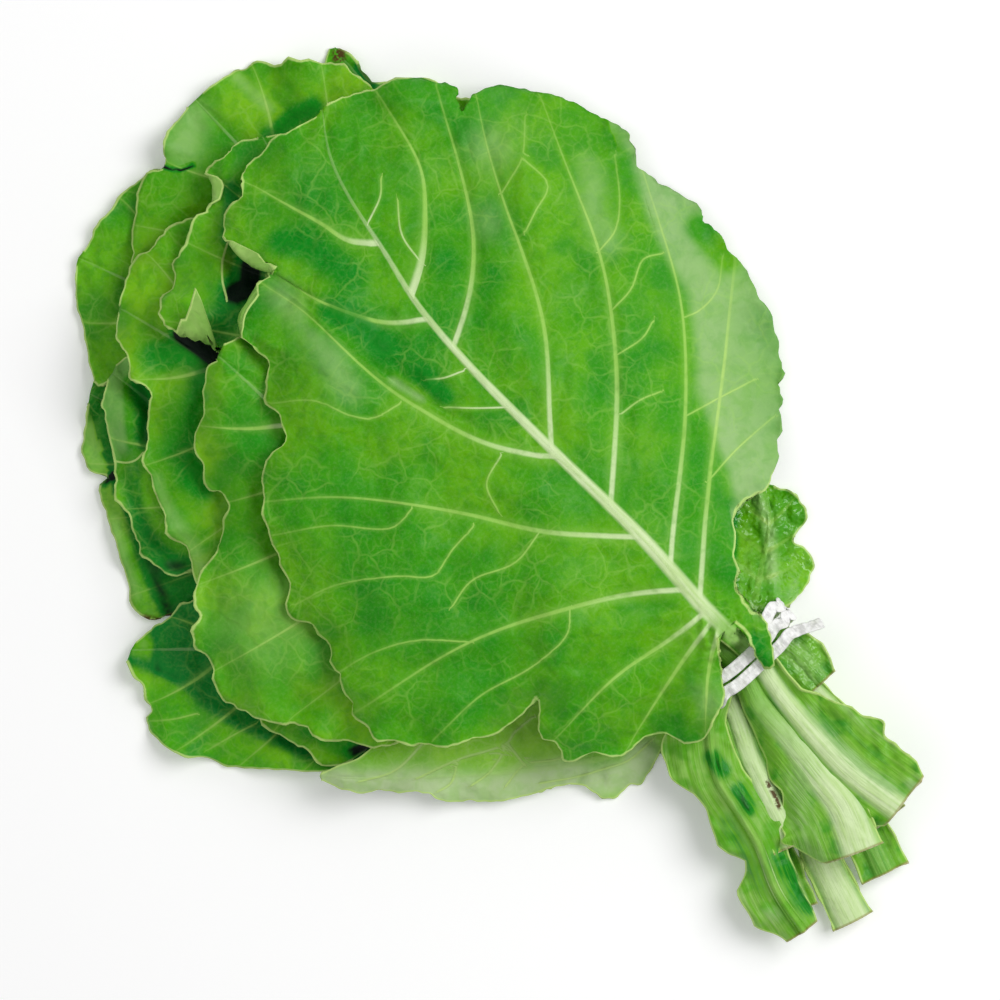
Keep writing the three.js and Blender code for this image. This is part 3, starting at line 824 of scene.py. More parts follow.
class Finish:
    # a material and the few kinds of node that these finishes are made of
    def __init__(self, name):
        self.material = bpy.data.materials.new(name)
        self.material.use_nodes = True
        self.tree = self.material.node_tree
        self.surface = self.tree.nodes["Principled BSDF"]

    def node(self, kind, inputs=(), out=0, **settings):
        made = self.tree.nodes.new(kind)
        for key, value in settings.items():
            setattr(made, key, value)
        for key, value in dict(inputs).items():
            self.give(made.inputs[key], value)
        return made.outputs[out]

    def give(self, socket, value):
        if isinstance(value, bpy.types.NodeSocket):
            self.tree.links.new(value, socket)
        else:
            socket.default_value = value

    def sums(self, operation, a, b=0.0, c=0.0):
        return self.node("ShaderNodeMath", {0: a, 1: b, 2: c}, operation=operation)

    def times(self, a, b):
        return self.sums("MULTIPLY", a, b)

    def timesPlus(self, a, b, c):
        return self.sums("MULTIPLY_ADD", a, b, c)

    def between(self, value, low, high, toLow=0.0, toHigh=1.0):
        inputs = {"Value": value, "From Min": low, "From Max": high, "To Min": toLow, "To Max": toHigh}
        return self.node("ShaderNodeMapRange", inputs, interpolation_type="SMOOTHSTEP")

    def blend(self, share, first, second):
        return self.node("ShaderNodeMix", {0: share, 6: first, 7: second}, out=2, data_type="RGBA")

    def stored(self, name, out=2):
        # a number that the mesh carries, or with out=1 a direction or place
        return self.node("ShaderNodeAttribute", out=out, attribute_name=name)

    def noise(self, where, scale, detail=2.0, roughness=0.5, out=0):
        inputs = {"Vector": where, "Scale": scale, "Detail": detail, "Roughness": roughness}
        return self.node("ShaderNodeTexNoise", inputs, out=out, noise_dimensions="2D")

    def scaled(self, where, by):
        return self.node("ShaderNodeVectorMath", {0: where, 1: by}, operation="MULTIPLY")

    def cells(self, where, scale):
        return self.node("ShaderNodeTexVoronoi", {"Vector": where, "Scale": scale},
                         feature="DISTANCE_TO_EDGE", voronoi_dimensions="2D")

    def place(self, stretch=(1, 1, 1)):
        # the piece's own coordinates in millimetres
        here = self.node("ShaderNodeTexCoord", out=3)
        return self.scaled(here, [part / mm for part in stretch])

    def finished(self, colour, height, distance, strength=0.6):
        # the surface's own colour, and a bump of this height
        self.give(self.surface.inputs["Base Color"], colour)
        bump = self.node("ShaderNodeBump", {"Height": height, "Strength": strength, "Distance": distance})
        self.give(self.surface.inputs["Normal"], bump)


def veinLine(f, wide):
    # distance to the nearest side vein or fork, in half widths of the vein, and the place across the blade
    if not wide:
        return drawnLine(f, "branch", 0.5), f.stored("across")
    number = f.sums("ADD", f.stored("veinNumber"), 0.5)
    away = f.sums("ABSOLUTE", f.sums("SUBTRACT", f.sums("FRACT", number), 0.5))
    across = f.stored("across")
    half = f.between(across, 0.0, 1.0, wide, 0.3)
    line = f.sums("DIVIDE", f.times(away, f.stored("veinGap")), half)
    return f.sums("MINIMUM", line, drawnLine(f, "branch", 0.38)), across


def drawnLine(f, name, half):
    # distance to a drawn line in half widths; the plain distance guards places where its side jumps
    line = f.sums("DIVIDE", f.sums("ABSOLUTE", f.stored(name + "Side")), half)
    return f.sums("ADD", line, f.between(f.stored(name), 1.7, 3.0, 0.0, 20.0))


def leafFinish(greens, called, gloss=0.5, under=False, shine=0.15):
    # the skin of a leaf, mixed from its greens and from what the mesh carries
    f = Finish(called)
    where = f.stored("flat", 1)
    wobble = f.noise(where, 0.12, out=1)
    warped = f.node("ShaderNodeVectorMath", {0: wobble, 1: (5, 5, 0), 2: where}, operation="MULTIPLY_ADD")

    # the green itself: broad clouds, soft dark patches, fine mottling and listed tones
    clouds = f.between(f.noise(where, 0.022), 0.36, 0.64)
    patches = f.between(f.noise(warped, 0.055), 0.47, 0.74)
    mottle = f.between(f.noise(warped, 0.2, 2.0, 0.6), 0.42, 0.66, 0.0, 0.45)
    flecks = f.noise(where, 0.8, 2.0, 0.6)
    tone = f.stored("tone")
    shadeEmerald = greens["shadeEmerald"] or greens["dark"]
    green = f.blend(clouds, greens["mid"], greens["light"])
    line, across = veinLine(f, greens["veinWide"])
    awayFromVeins = f.between(line, 1.0, 6.0, 0.3, greens["patchiness"])
    patches = f.times(f.sums("MAXIMUM", patches, mottle), awayFromVeins)
    green = f.blend(patches, green, greens["dark"])
    # tones below 0 blend in a painted sheen, pale grey-green and broken up by noise into streaks
    sheenStreaks = f.between(f.noise(warped, 0.13, 3.0, 0.6), 0.3, 0.62, 0.72, 1.0)
    paintedSheen = f.between(tone, 0.0, -1.0)
    green = f.blend(f.times(paintedSheen, sheenStreaks), green, greens["pale"])
    # tones above 0 darken the green: mostly painted shade in hollows and under overlapping leaves, with
    # some darker patches of the leaf's own green
    green = f.blend(f.between(tone, 0.0, 1.0), green, greens["dark"])
    green = f.blend(f.between(flecks, 0.4, 0.75, 0.0, 0.1), green, greens["pale"])

    # fine nets of veins in two sizes, in places stronger and in places gone
    wide = f.cells(warped, 0.085)
    narrow = f.cells(warped, 0.24)
    net = f.between(wide, 0.008, 0.06, 0.24, 0.0)
    net = f.sums("MAXIMUM", net, f.between(narrow, 0.01, 0.14, 0.12, 0.0))
    net = f.times(net, f.between(f.noise(where, 0.05), 0.38, 0.64, 0.15, 1.0))
    green = f.blend(net, green, greens["vein"])

    # side veins and their forks, tapering towards the margin
    fade = f.between(across, 0.6, 1.0, 1.0, 0.35)
    halo = f.times(f.between(line, 0.6, 4.0, 0.2, 0.0), fade)
    green = f.blend(halo, green, greens["vein"])
    raised = f.times(f.between(line, 0.4, 1.3, 0.85, 0.0), fade)
    crisp = f.times(raised, f.between(f.noise(where, 0.25), 0.25, 0.5, 0.7, 1.0))
    veinColour = f.blend(f.between(across, 0.0, 0.35), greens["rib"], greens["vein"])
    # within the painted sheen the veins turn paler as well
    green = f.blend(crisp, green, f.blend(f.times(paintedSheen, 0.6), veinColour, greens["margin"]))

    # midrib and stalk, with fibres along them
    fibres = f.noise(f.scaled(f.stored("grain", 1), (1.0, 0.06, 1.0)), 0.7, 3.0, 0.6)
    ribColour = f.blend(f.between(fibres, 0.35, 0.68, 0.0, 0.5), greens["rib"], greens["fibre"])
    stalk = f.stored("stalk")
    wing = f.blend(f.between(fibres, 0.35, 0.65, 0.0, 0.4), greens["wing"], greens["vein"])
    wing = f.blend(f.between(f.noise(where, 0.09, 3.0), 0.46, 0.7, 0.0, 0.7), wing, greens["dark"])
    body = f.blend(stalk, green, wing)
    gaps = f.times(stalk, f.between(fibres, 0.36, 0.6, 0.6, 0.0))
    tone = f.times(tone, f.timesPlus(gaps, -1.0, 1.0))
    ribFade = f.between(f.stored("ribShare"), greens["ribFrom"], 1.0, greens["ribShows"], 0.12)
    rib = f.times(f.between(f.stored("fromRib"), 0.6, 1.2, 1.0, 0.0), ribFade)
    body = f.blend(rib, body, f.blend(f.stored("cream"), greens["wing"], ribColour))
    # on the stalk, darker tones are painted shade in its gaps and hollows, and paler tones a painted sheen
    # on its wings
    body = f.blend(f.times(stalk, f.between(tone, 0.0, 1.0, 0.0, 0.9)), body, shadeEmerald)
    body = f.blend(f.times(stalk, f.between(tone, 0.0, -1.0, 0.0, 0.85)), body, greens["pale"])

    # the pale line along every margin, drawn seams, painted shade in hollows and gaps, brown places and the
    # cut end
    edge = f.between(f.stored("toEdge"), 0.3, 0.9, 0.85, 0.0)
    body = f.blend(edge, body, greens["margin"])
    # the strongest tones are painted shade in hollows and gaps between leaves, first emerald, then
    # near-black
    body = f.blend(f.between(tone, 0.8, 1.2, 0.0, 0.7), body, shadeEmerald)
    body = f.blend(f.between(tone, 1.1, 2.4), body, greens["deep"])
    body = f.blend(f.between(drawnLine(f, "seam", 0.45), 0.4, 1.2, 0.85, 0.0), body, greens["margin"])
    cut = f.stored("cutEnd")
    pores = f.between(f.noise(where, 0.8, 3.0), 0.4, 0.65, 0.0, 0.7)
    body = f.blend(f.between(cut, 0.6, 0.95), body, f.blend(pores, greens["flesh"], greens["pores"]))
    body = f.blend(f.between(cut, 0.15, 0.5, 0.0, 0.45), body, greens["driedRim"])
    uneven = f.between(f.noise(where, 0.5, 3.0, 0.6), 0.35, 0.55, 0.25, 1.0)
    ragged = f.times(f.stored("brown"), uneven)
    body = f.blend(f.between(ragged, 0.1, 0.8), body, greens["brown"])

    # skin: soft puckers, raised veins, fine grain, fibres along the stalk
    bulge = f.noise(warped, 0.16, 1.0)
    skin = f.timesPlus(flecks, 0.12, f.times(bulge, 1.6))
    height = f.timesPlus(raised, 0.5 if under else 0.2, skin)
    if greens["wetness"]:
        height = f.timesPlus(f.noise(where, 0.36, 1.0), greens["wetness"], height)
    height = f.timesPlus(fibres, f.times(stalk, 0.8), height)
    f.finished(body, height, 1 * mm)
    rough = f.between(f.noise(where, 0.06, 1.0), 0.35, 0.65, gloss - 0.06, gloss + 0.12)
    f.give(f.surface.inputs["Roughness"], f.times(rough, f.timesPlus(stalk, -0.45, 1.0)))
    f.surface.inputs["Specular IOR Level"].default_value = shine
    return f.material


# pale is the painted sheen's colour, also that of fine flecks; deep and emerald are colours of painted
# shade
common = {
    "vein": colour(156, 206, 92), "rib": colour(214, 234, 180), "fibre": colour(166, 206, 104),
    "margin": colour(194, 224, 130), "wing": colour(112, 180, 44), "pale": colour(150, 196, 112),
    "deep": colour(0, 20, 7), "shadeEmerald": None, "flesh": colour(232, 238, 200),
    "pores": colour(176, 164, 100), "driedRim": colour(150, 136, 62), "brown": colour(84, 66, 26),
    "patchiness": 0.62, "veinWide": 1.05, "ribFrom": 0.5, "ribShows": 0.95, "wetness": 0.0,
}
# a leaf's own pale is the colour of its painted sheen, and the wrapping leaf's emerald that of its painted
# shade
greensOf = {
    "front": {"mid": colour(56, 152, 0), "light": colour(94, 170, 2), "dark": colour(0, 132, 16),
              "pale": colour(150, 190, 120)},
    "young": {"mid": colour(76, 164, 0), "light": colour(118, 186, 12), "dark": colour(6, 140, 12)},
    "middle": {"mid": colour(62, 158, 0), "light": colour(98, 178, 8), "dark": colour(0, 128, 26)},
    "outer": {"mid": colour(86, 172, 8), "light": colour(126, 194, 52), "dark": colour(0, 128, 24)},
    "lower": {"mid": colour(76, 172, 0), "light": colour(112, 190, 8), "dark": colour(0, 128, 38)},
    "under": {"mid": colour(132, 186, 76), "light": colour(160, 202, 104), "dark": colour(88, 160, 30),
              "vein": colour(176, 210, 128), "patchiness": 0.4},
    "wrapping": {"mid": colour(114, 184, 26), "light": colour(140, 200, 58), "dark": colour(80, 166, 12),
                 "vein": colour(172, 208, 122), "rib": colour(166, 204, 112), "pale": colour(184, 208, 154),
                 "shadeEmerald": colour(14, 136, 24), "patchiness": 0.5, "ribFrom": 0.05, "ribShows": 0.3,
                 "veinWide": 0},
    "wet": {"mid": colour(74, 162, 0), "light": colour(112, 184, 14), "dark": colour(10, 138, 14),
            "rib": colour(120, 182, 58), "vein": colour(120, 184, 58), "ribShows": 0.45, "wetness": 1.8},
}
settingsOf = {
    "under": {"called": "pale underside", "gloss": 0.56, "under": True},
    "wrapping": {"called": "wrapping underside", "gloss": 0.56, "under": True},
    "wet": {"gloss": 0.2, "shine": 0.4},
}
finishes = {name: leafFinish({**common, **tones}, **{"called": name + " green", **settingsOf.get(name, {})})
            for name, tones in greensOf.items()}
print("leaf finishes are mixed")


# the twelve leaves, from the lowest to the top one
# stem: the stalk's middle from its cut end to the tie; rib: the midrib from the blade's foot to its tip;
# left, right: the margins, from foot to tip; heights: the stalk's middle at the cut end and at the tie;
# wings: how wide the blade is beside the stalk, left and right, from the cut end (0) to the foot (1);
# cream: how pale the stalk is on the same way; tones: darker spots are above 0, mostly painted shade,
# and paler ones below, mostly painted sheen;
# reach: how far, in millimetres, the blade stays stiff over what it lies on

narrowLeaf = {
    "piece": "narrow_outer_leaf", "node": "narrow_leaf", "slot": "outer_leaf_green", "finish": "outer",
    "stem": [[-38, -101], [-30, -74], [-21, -48], [-4.9, 0]], "heights": [5.0, 5.6],
    "atCut": {"halfWidth": 7.5, "shoulder": 3.2}, "cream": [(0, 1), (0.3, 0.9), (0.5, 0.3), (1, 0.2)],
    "wings": [[(0, 0.5), (0.5, 1), (1, 1)]] * 2, "rib": [[-17, 62], [-56, 112], [-88, 170], [-111, 238.5]],
    "right": [[-12, 64], [2, 100], [-26, 160], [-60, 212], [-96, 240], [-107, 241]],
    "left": [[-22, 60], [-74, 74], [-120, 118], [-136, 151], [-144, 156.5], [-151, 159.5], [-153.5, 165.5],
             [-151.5, 173], [-147.5, 181.5], [-143, 190], [-132, 210.5], [-127, 211], [-130, 214.5],
             [-131, 218], [-129, 224], [-123, 229], [-114, 236]],
    # its tones are painted shade in the dark groove along its left margin and at a notch, and a painted
    # sheen on its rolled edge
    "tones": [sideSpot(2.5, 60, 1.2, (-131, 203), (-139, 187), (-146.5, 170), (-150, 159)),
              spot(1.9, 0.9, (-146, 158), (-142.5, 166), (-136, 179)),
              spot(1.2, 2.6, (-125, 210), (-131, 210.5)),
              spot(3, -0.5, (-150, 172), (-144, 185), (-137, 198)),
              spot(5, -0.4, (-127, 218), (-120, 229))],
    "browns": [spot(0.8, 1, (-155, 165), (-151, 160), (-145, 157))],
    "rows": 144, "columns": 28, "relief": {"cup": -4, "ruffle": 1.2},
}

lowerLeaf = {
    "piece": "lower_left_leaf", "node": "lower_leaf", "finish": "lower",
    "stem": [[-50, -84], [-33, -42], [-13.8, 0]], "heights": [5, 5.6], "wings": [[(0, 3), (1, 1)]] * 2,
    "rib": [[-34, 44], [-84, 84], [-128, 124], [-165.5, 158]],
    "right": [[-30, 49], [-48, 96], [-96, 140], [-136, 156], [-150, 158], [-162, 159]],
    "left": [[-40, 38], [-80, 34], [-122, 54], [-144, 75], [-160, 92], [-169, 101.5], [-173, 109],
             [-180, 119], [-181, 128], [-179.5, 135.5], [-174, 138.5], [-171, 150], [-169, 156]],
    "rows": 150, "columns": 30, "relief": {"cup": 5, "ruffle": 2.2},
    # its tones are the painted shadow that the leaves above cast along its left side and painted shade
    # under their rims, with a paler spot near its tip
    "tones": [sideSpot(3.5, 90, 0.95, (-173, 158), (-167, 148), (-164.5, 140), (-162.5, 129), (-161, 119),
                       (-159, 110), (-155.5, 102), (-152, 93.5), (-148, 84), (-143, 75)),
              spot(5, -1.3, (-160.5, 156)), spot(1.6, 0.6, (-154, 157), (-159, 151), (-163, 146)),
              spot(2.2, 0.5, (-169, 154), (-165, 146), (-160, 139)),
              spot(5, 0.15, (-142, 146), (-147, 128), (-144, 108))],
    "branches": [[[-164, 124], [-171, 128], [-179, 134]], [[-150, 106], [-159, 108.5], [-170, 111]]],
}

outerLeaf = {
    "piece": "outer_leaf_left", "node": "outer_leaf", "finish": "middle",
    "stem": [[-17, -96], [-9, -70], [-4, -40], [4.6, 0]], "heights": [4.6, 5.6],
    "wings": [[(0, 5), (1, 1)]] * 2, "cream": [(0, 0.15), (1, 0.1)],
    "tones": [spot(9, 0.45, (-17, -96), (-12, -80), (-9, -68))],
    "rib": [[0, 80], [-22, 140], [-52, 212], [-79.5, 278.5]],
    "right": [[5, 80], [42, 130], [30, 200], [-12, 262], [-36, 283], [-60, 283], [-76, 279]],
    "left": [[-6, 78], [-62, 110], [-94, 168], [-98, 214], [-100, 234], [-107, 240], [-103, 248],
             [-97, 257], [-91, 268], [-82, 277]],
    "rows": 162, "columns": 28, "relief": {"cup": -3, "ruffle": 1.6},
}

backLeaf = {
    "piece": "back_leaf_right", "node": "back_leaf", "finish": "lower",
    "stem": [[8, -68], [10, -34], [12, 0]], "heights": [4.5, 5.6], "wings": [[(0, 0.6), (1, 0.6)]] * 2,
    "rib": [[18, 70], [34, 130], [41, 200], [44, 270.5]],
    "right": [[23, 69], [60, 96], [82, 150], [76, 205], [62, 232], [61.5, 237.5], [55.5, 243.5],
              [48.5, 248.5], [45.5, 252], [46, 258], [47, 264], [45.5, 269]],
    "left": [[13, 71], [-4, 120], [6, 190], [22, 240], [33, 262], [39, 269.5], [42.5, 271.5]],
    # its tones are painted shade at a notch in its right margin
    "tones": [spot(2.5, 1.6, (46, 258), (45, 251)), spot(4, 0.8, (50, 247))],
    "browns": [spot(3, 1.1, (43.5, 267))], "rows": 130, "columns": 24, "relief": {"cup": 2, "ruffle": 1.6},
}

loopedLeaf = {
    "piece": "looped_leaf_left", "node": "looped_leaf", "finish": "middle",
    "stem": [[-35, -64], [-25, -32], [-13.8, 0]], "heights": [14.6, 13.6], "wings": [[(0, 3), (1, 1)]] * 2,
    "rib": [[-26, 60], [-60, 108], [-86, 160], [-99, 237.5]],
    "right": [[-21, 63], [-14, 112], [-44, 180], [-76, 222], [-90, 238], [-96, 239]],
    "left": [[-31, 56], [-84, 66], [-118, 100], [-126, 140], [-128, 164], [-132, 165], [-135.5, 168.5],
             [-137, 174], [-136.5, 185], [-132, 193], [-129.5, 202], [-125, 210], [-121, 213.5],
             [-115.5, 223], [-110, 231], [-102, 237]],
    "rows": 168, "columns": 31, "relief": {"cup": 4, "ruffle": 2.0},
    "ridges": [spot(3.5, -3.5, (-118, 212), (-125, 203), (-129, 190), (-130, 176)),
               spot(4, -4, (-98, 227), (-98, 219), (-106, 212))],
    # its tones are painted shade in the trough along its raised margin and in the hollow beside its lip,
    # and a painted sheen above the lip
    "tones": [spot(4.5, 1.15, (-119.5, 207), (-126, 199), (-131, 189), (-132.5, 178), (-131, 169)),
              sideSpot(4, 24, -0.55, (-114, 210), (-105, 221), (-97, 230)),
              spot(4, 1.7, (-95, 227), (-99, 219), (-107, 211)), spot(3, 0.9, (-134, 171), (-127, 166))],
    "browns": [spot(0.9, 1.1, (-26, -40), (-27, -45), (-29, -50))],
    "seams": [[[-121, 213], [-118.5, 210], [-115, 208], [-111, 208]]],
}

tipLeaf = {
    "piece": "far_tip_leaf", "node": "tip_leaf", "slot": "young_leaf_green", "finish": "young",
    "stem": [[11, -60], [10, -30], [11, 0]], "heights": [14.6, 13.6], "wings": [[(0, 0.6), (1, 0.6)]] * 2,
    "rib": [[12, 90], [4, 150], [-6, 222], [-7, 291.5]],
    "right": [[17, 90], [52, 120], [60, 186], [52, 236], [44.5, 250], [42, 263], [34, 272.5], [28.5, 278],
              [23.5, 280], [20, 286], [12, 289], [5, 290.5], [-3, 291.5]],
    "left": [[7, 90], [-40, 130], [-62, 196], [-74, 240], [-66, 263], [-52, 276], [-38, 283.5], [-34, 281],
             [-30, 285], [-18.5, 290], [-11, 291.5]],
    # its tones are a painted shadow line along a crack, painted shade where the front leaf overlaps it, and
    # a painted sheen near its tip
    "tones": [spot(0.8, 3, (-34, 283.5), (-31, 278), (-28, 275), (-24.5, 274)),
              spot(9, -0.65, (-22, 281), (-13, 287)), spot(4, 1.5, (4, 262), (14, 261.5), (23, 259)),
              spot(3, -0.5, (10, 287), (11, 268))],
    "rows": 172, "columns": 31, "relief": {"cup": -2, "ruffle": 2.0, "swell": 2.2},
}

upperLeaf = {
    "piece": "upper_left_leaf", "node": "upper_leaf", "finish": "young",
    "stem": [[-20, -80], [-13, -40], [-4.6, 0]], "heights": [14.6, 13.6], "wings": [[(0, 3), (1, 1)]] * 2,
    "rib": [[-13, 66], [-36, 124], [-60, 186], [-80.5, 253]],
    "right": [[-8, 67], [16, 110], [22, 176], [2, 230], [-30, 256], [-64, 262], [-80, 254]],
    "left": [[-18, 65], [-70, 66], [-124, 70], [-139, 74], [-143, 77], [-142, 86], [-146, 94], [-148, 101],
             [-147, 108], [-143, 124], [-136, 144], [-128, 162], [-124.5, 171], [-123, 182], [-117, 197],
             [-112, 206], [-99, 217], [-94, 221], [-93.5, 227], [-95, 230.5], [-90, 238], [-88, 247],
             [-82, 252]],
    "rows": 172, "columns": 31, "relief": {"cup": 2, "ruffle": 2.0},
    # its tones are painted shade under the leaves that overlap it and in deep hollows at its margin, and a
    # painted sheen along its left margin
    "tones": [spot(8, 1.1, (-64, 208), (-72, 222), (-82, 230)),
              spot(5, 0.9, (-70, 214), (-84, 208), (-96, 198), (-104, 182)),
              spot(3, 2.6, (-123, 71), (-130, 73.5)), spot(4, 0.8, (-133, 79), (-138, 92)),
              spot(4, -0.5, (-125, 160), (-121, 172), (-119, 184), (-113, 197)), spot(7, 0.7, (-106, 190)),
              spot(5, 0.6, (-104, 202)), spot(2.4, 3, (-71, 230), (-69, 222), (-66, 213))],
}

curledLeaf = {
    "piece": "curled_inner_leaf", "node": "curled_leaf", "finish": "middle",
    "stem": [[-4, -81], [-1, -40], [4.6, 0]], "heights": [14.6, 13.6],
    "wings": [[(0, 4), (1, 1)], [(0, 5), (1, 1)]], "rib": [[2, 72], [-8, 128], [-14, 192], [1.5, 263]],
    "right": [[7, 73], [38, 110], [42, 176], [38, 232], [22, 252], [10, 258], [3, 262]],
    "left": [[-3, 71], [-48, 96], [-70, 146], [-68, 200], [-65, 214], [-65, 221], [-71, 231], [-72.5, 236],
             [-68, 243], [-60, 246], [-53, 252], [-45, 253], [-36, 258], [-31, 256], [-29, 257], [-22, 263],
             [-22, 267], [-15, 268], [-9, 269], [0, 264]],
    "rows": 176, "columns": 33, "relief": {"cup": 5, "ruffle": 2.4},
    "flaps": [{"side": "left", "start": (-31.5, 256), "end": (-21, 267), "toward": (0.72, -0.7),
               "radius": 1.2, "turn": 2.7, "widths": [(0, 0), (0.25, 7), (0.6, 7.5), (0.9, 3.5), (1, 0)]},
              {"side": "left", "start": (-65, 216), "end": (-71.5, 232), "toward": (0.7, 0.71),
               "radius": 1.4, "turn": 2.6,
               "widths": [(0, 0), (0.15, 9), (0.3, 15), (0.5, 26), (0.58, 18), (0.66, 16), (0.72, 10),
                          (0.8, 11), (0.92, 4), (1, 0)]}],
    "folds": [{"line": [[-50, 226], [-46, 232], [-41, 238], [-33, 243]], "rise": 1.5, "drop": 7,
               "spread": 9, "sharp": 2}],
    # its tones are deep painted shade in the hollow beside its crease, painted shade between its flaps, and
    # a painted sheen on the crease
    "tones": [spot(3.8, 3, (-34, 230), (-40, 225), (-45, 226.5)),
              spot(8, 1.0, (-38, 232), (-48, 225), (-58, 222)),
              spot(4, 1.3, (-20, 256), (-27, 248), (-32, 244)), spot(2, -0.8, (-44, 236), (-40, 238))],
    "seams": [[[-34, 243], [-41, 238.5], [-46, 232.5], [-49, 227]]],
}

wrappingLeaf = {
    "piece": "wrapping_leaf_underside_up", "node": "wrapping_leaf", "slot": "leaf_underside",
    "finish": "wrapping", "shows": "underside", "size": 0.62, "veinHeight": 0.25, "teeth": 0.35,
    "stem": [[-54, -90], [-51, -72], [-44, -54], [-41, -40], [-38, -26], [-27, -10], [-13.4, 0]],
    "heights": [16, 21.4], "wingRise": (-4, -3), "atCut": {"halfWidth": 2.4},
    "cream": [(0, 0), (0.1, 0.1), (0.18, 0.9), (0.7, 1), (1, 0.5)],
    "wings": [[(0, 6), (0.05, 8), (0.1, 12), (0.15, 11.5), (0.2, 12), (0.24, 7), (0.28, 5), (0.33, 9),
               (0.38, 11.5), (0.44, 9.5), (0.5, 8), (0.55, 9), (0.6, 14), (0.66, 16), (0.72, 14), (0.78, 8),
               (1, 2)], [(0, 5), (0.15, 8), (0.4, 10), (0.6, 8), (0.75, 4), (1, 1)]],
    "rib": [[-20, 12], [-32, 4], [-55, 4], [-76, 15], [-101, 34], [-126, 56], [-145.5, 75.5]],
    "right": [[-15, 24], [-30, 60], [-74, 88], [-106, 82], [-125, 70.5], [-133, 72], [-138.5, 74],
              [-144.5, 76]],
    "left": [[-24, 8], [-31, -9], [-45, -5], [-53, -7.5], [-60.5, -10], [-64, -7], [-72.5, -6], [-75, -3],
             [-76, 3], [-79, 7.5], [-86, 12.5], [-93, 16], [-103.5, 22.5], [-113, 31], [-119, 37],
             [-121, 42.5], [-128, 51], [-138, 60], [-143, 67], [-146, 74]],
    "branches": [[[-73, 37], [-82, 37.5], [-86.5, 36.5], [-104, 44.5], [-120, 50]],
                 [[-86.5, 36.5], [-93, 34], [-99, 33], [-107, 34]], [[-86.5, 36.5], [-87, 31], [-87.5, 26]],
                 [[-60, 14], [-77, 19], [-87.5, 26], [-98, 25]], [[-104, 44.5], [-112, 40], [-118, 41]],
                 [[-100, 60], [-112, 58], [-124, 58], [-136, 64]],
                 [[-46, 0], [-58, 0.5], [-66, 4], [-76, 9], [-88, 17]], [[-52, 12], [-62, 12], [-70, 17]]],
    # its tones are a painted sheen along its rolled lower edge and painted shade in the gaps and hollows of
    # its stalk's wing
    "tones": [spot(7.5, -0.95, (-53, -2), (-61, -4), (-72, 3), (-77, 9.5), (-88, 18), (-100, 25),
                   (-113, 38), (-124, 51), (-136, 62), (-144, 71)), spot(3, 1.9, (-34.5, -19), (-35, -25)),
              spot(3, 1.9, (-35.5, -35), (-37.5, -42)), spot(4, 1.6, (-42, -64), (-44, -76), (-46, -84)),
              spot(4, 0.7, (-47, -40), (-51, -56), (-57, -70)), spot(4, -0.5, (-60, -66), (-58, -78))],
    "rows": 196, "columns": 42, "reach": 10, "relief": {"cup": -3, "ruffle": 1.4, "pucker": 0.5},
}

leftLeaf = {
    "piece": "left_young_leaf", "node": "left_leaf", "slot": "young_leaf_green", "finish": "young",
    "stem": [[-18, -82], [-11.3, -65], [-9.9, -50], [-8.5, -33], [-8, -18], [-3.7, 0]],
    "heights": [24, 21.4], "wingRise": (-7, 1), "atCut": {"halfWidth": 8.2},
    "cream": [(0, 1), (0.2, 1), (0.36, 0.55), (0.5, 0.15), (1, 0)],
    "wings": [[(0, 5), (0.05, 15), (0.09, 19), (0.125, 20), (0.19, 16), (0.26, 10), (0.33, 8), (0.41, 4.5),
               (0.5, 2), (1, 1)], [(0, 0.6), (1, 0.6)]],
    "rib": [[-12, 56], [-42, 104], [-60, 160], [-65.5, 213.5]],
    "right": [[-7, 58], [10, 96], [6, 150], [-26, 196], [-48, 209], [-56, 213.5], [-61, 215]],
    "left": [[-17, 54], [-60, 50], [-100, 56], [-118, 66], [-125, 72], [-130, 80], [-135, 86], [-139, 98],
             [-145, 103], [-150, 113], [-152, 120], [-150, 127], [-146, 134], [-145, 141], [-142, 147],
             [-136.5, 148.5], [-135, 153], [-128, 160], [-116, 162], [-114, 165], [-109, 166.5],
             [-101, 171], [-100, 175], [-102.5, 180.5], [-98, 189], [-93, 199], [-85, 202], [-78, 208.5],
             [-71, 213.5], [-67, 212.5]],
    # its tones are a painted sheen on its stalk's broad left wing, with broad darker and paler spots on the
    # blade
    "tones": [spot(15, 0.7, (-76, 190)), spot(24, -0.4, (-120, 130)),
              spot(5, -0.35, (-106, 178), (-103, 186), (-97, 197)),
              spot(6, -0.9, (-16, -46), (-26, -60), (-33, -73))],
    "rows": 200, "columns": 35, "relief": {"cup": -3, "ruffle": 2.2, "swell": 2.0},
}

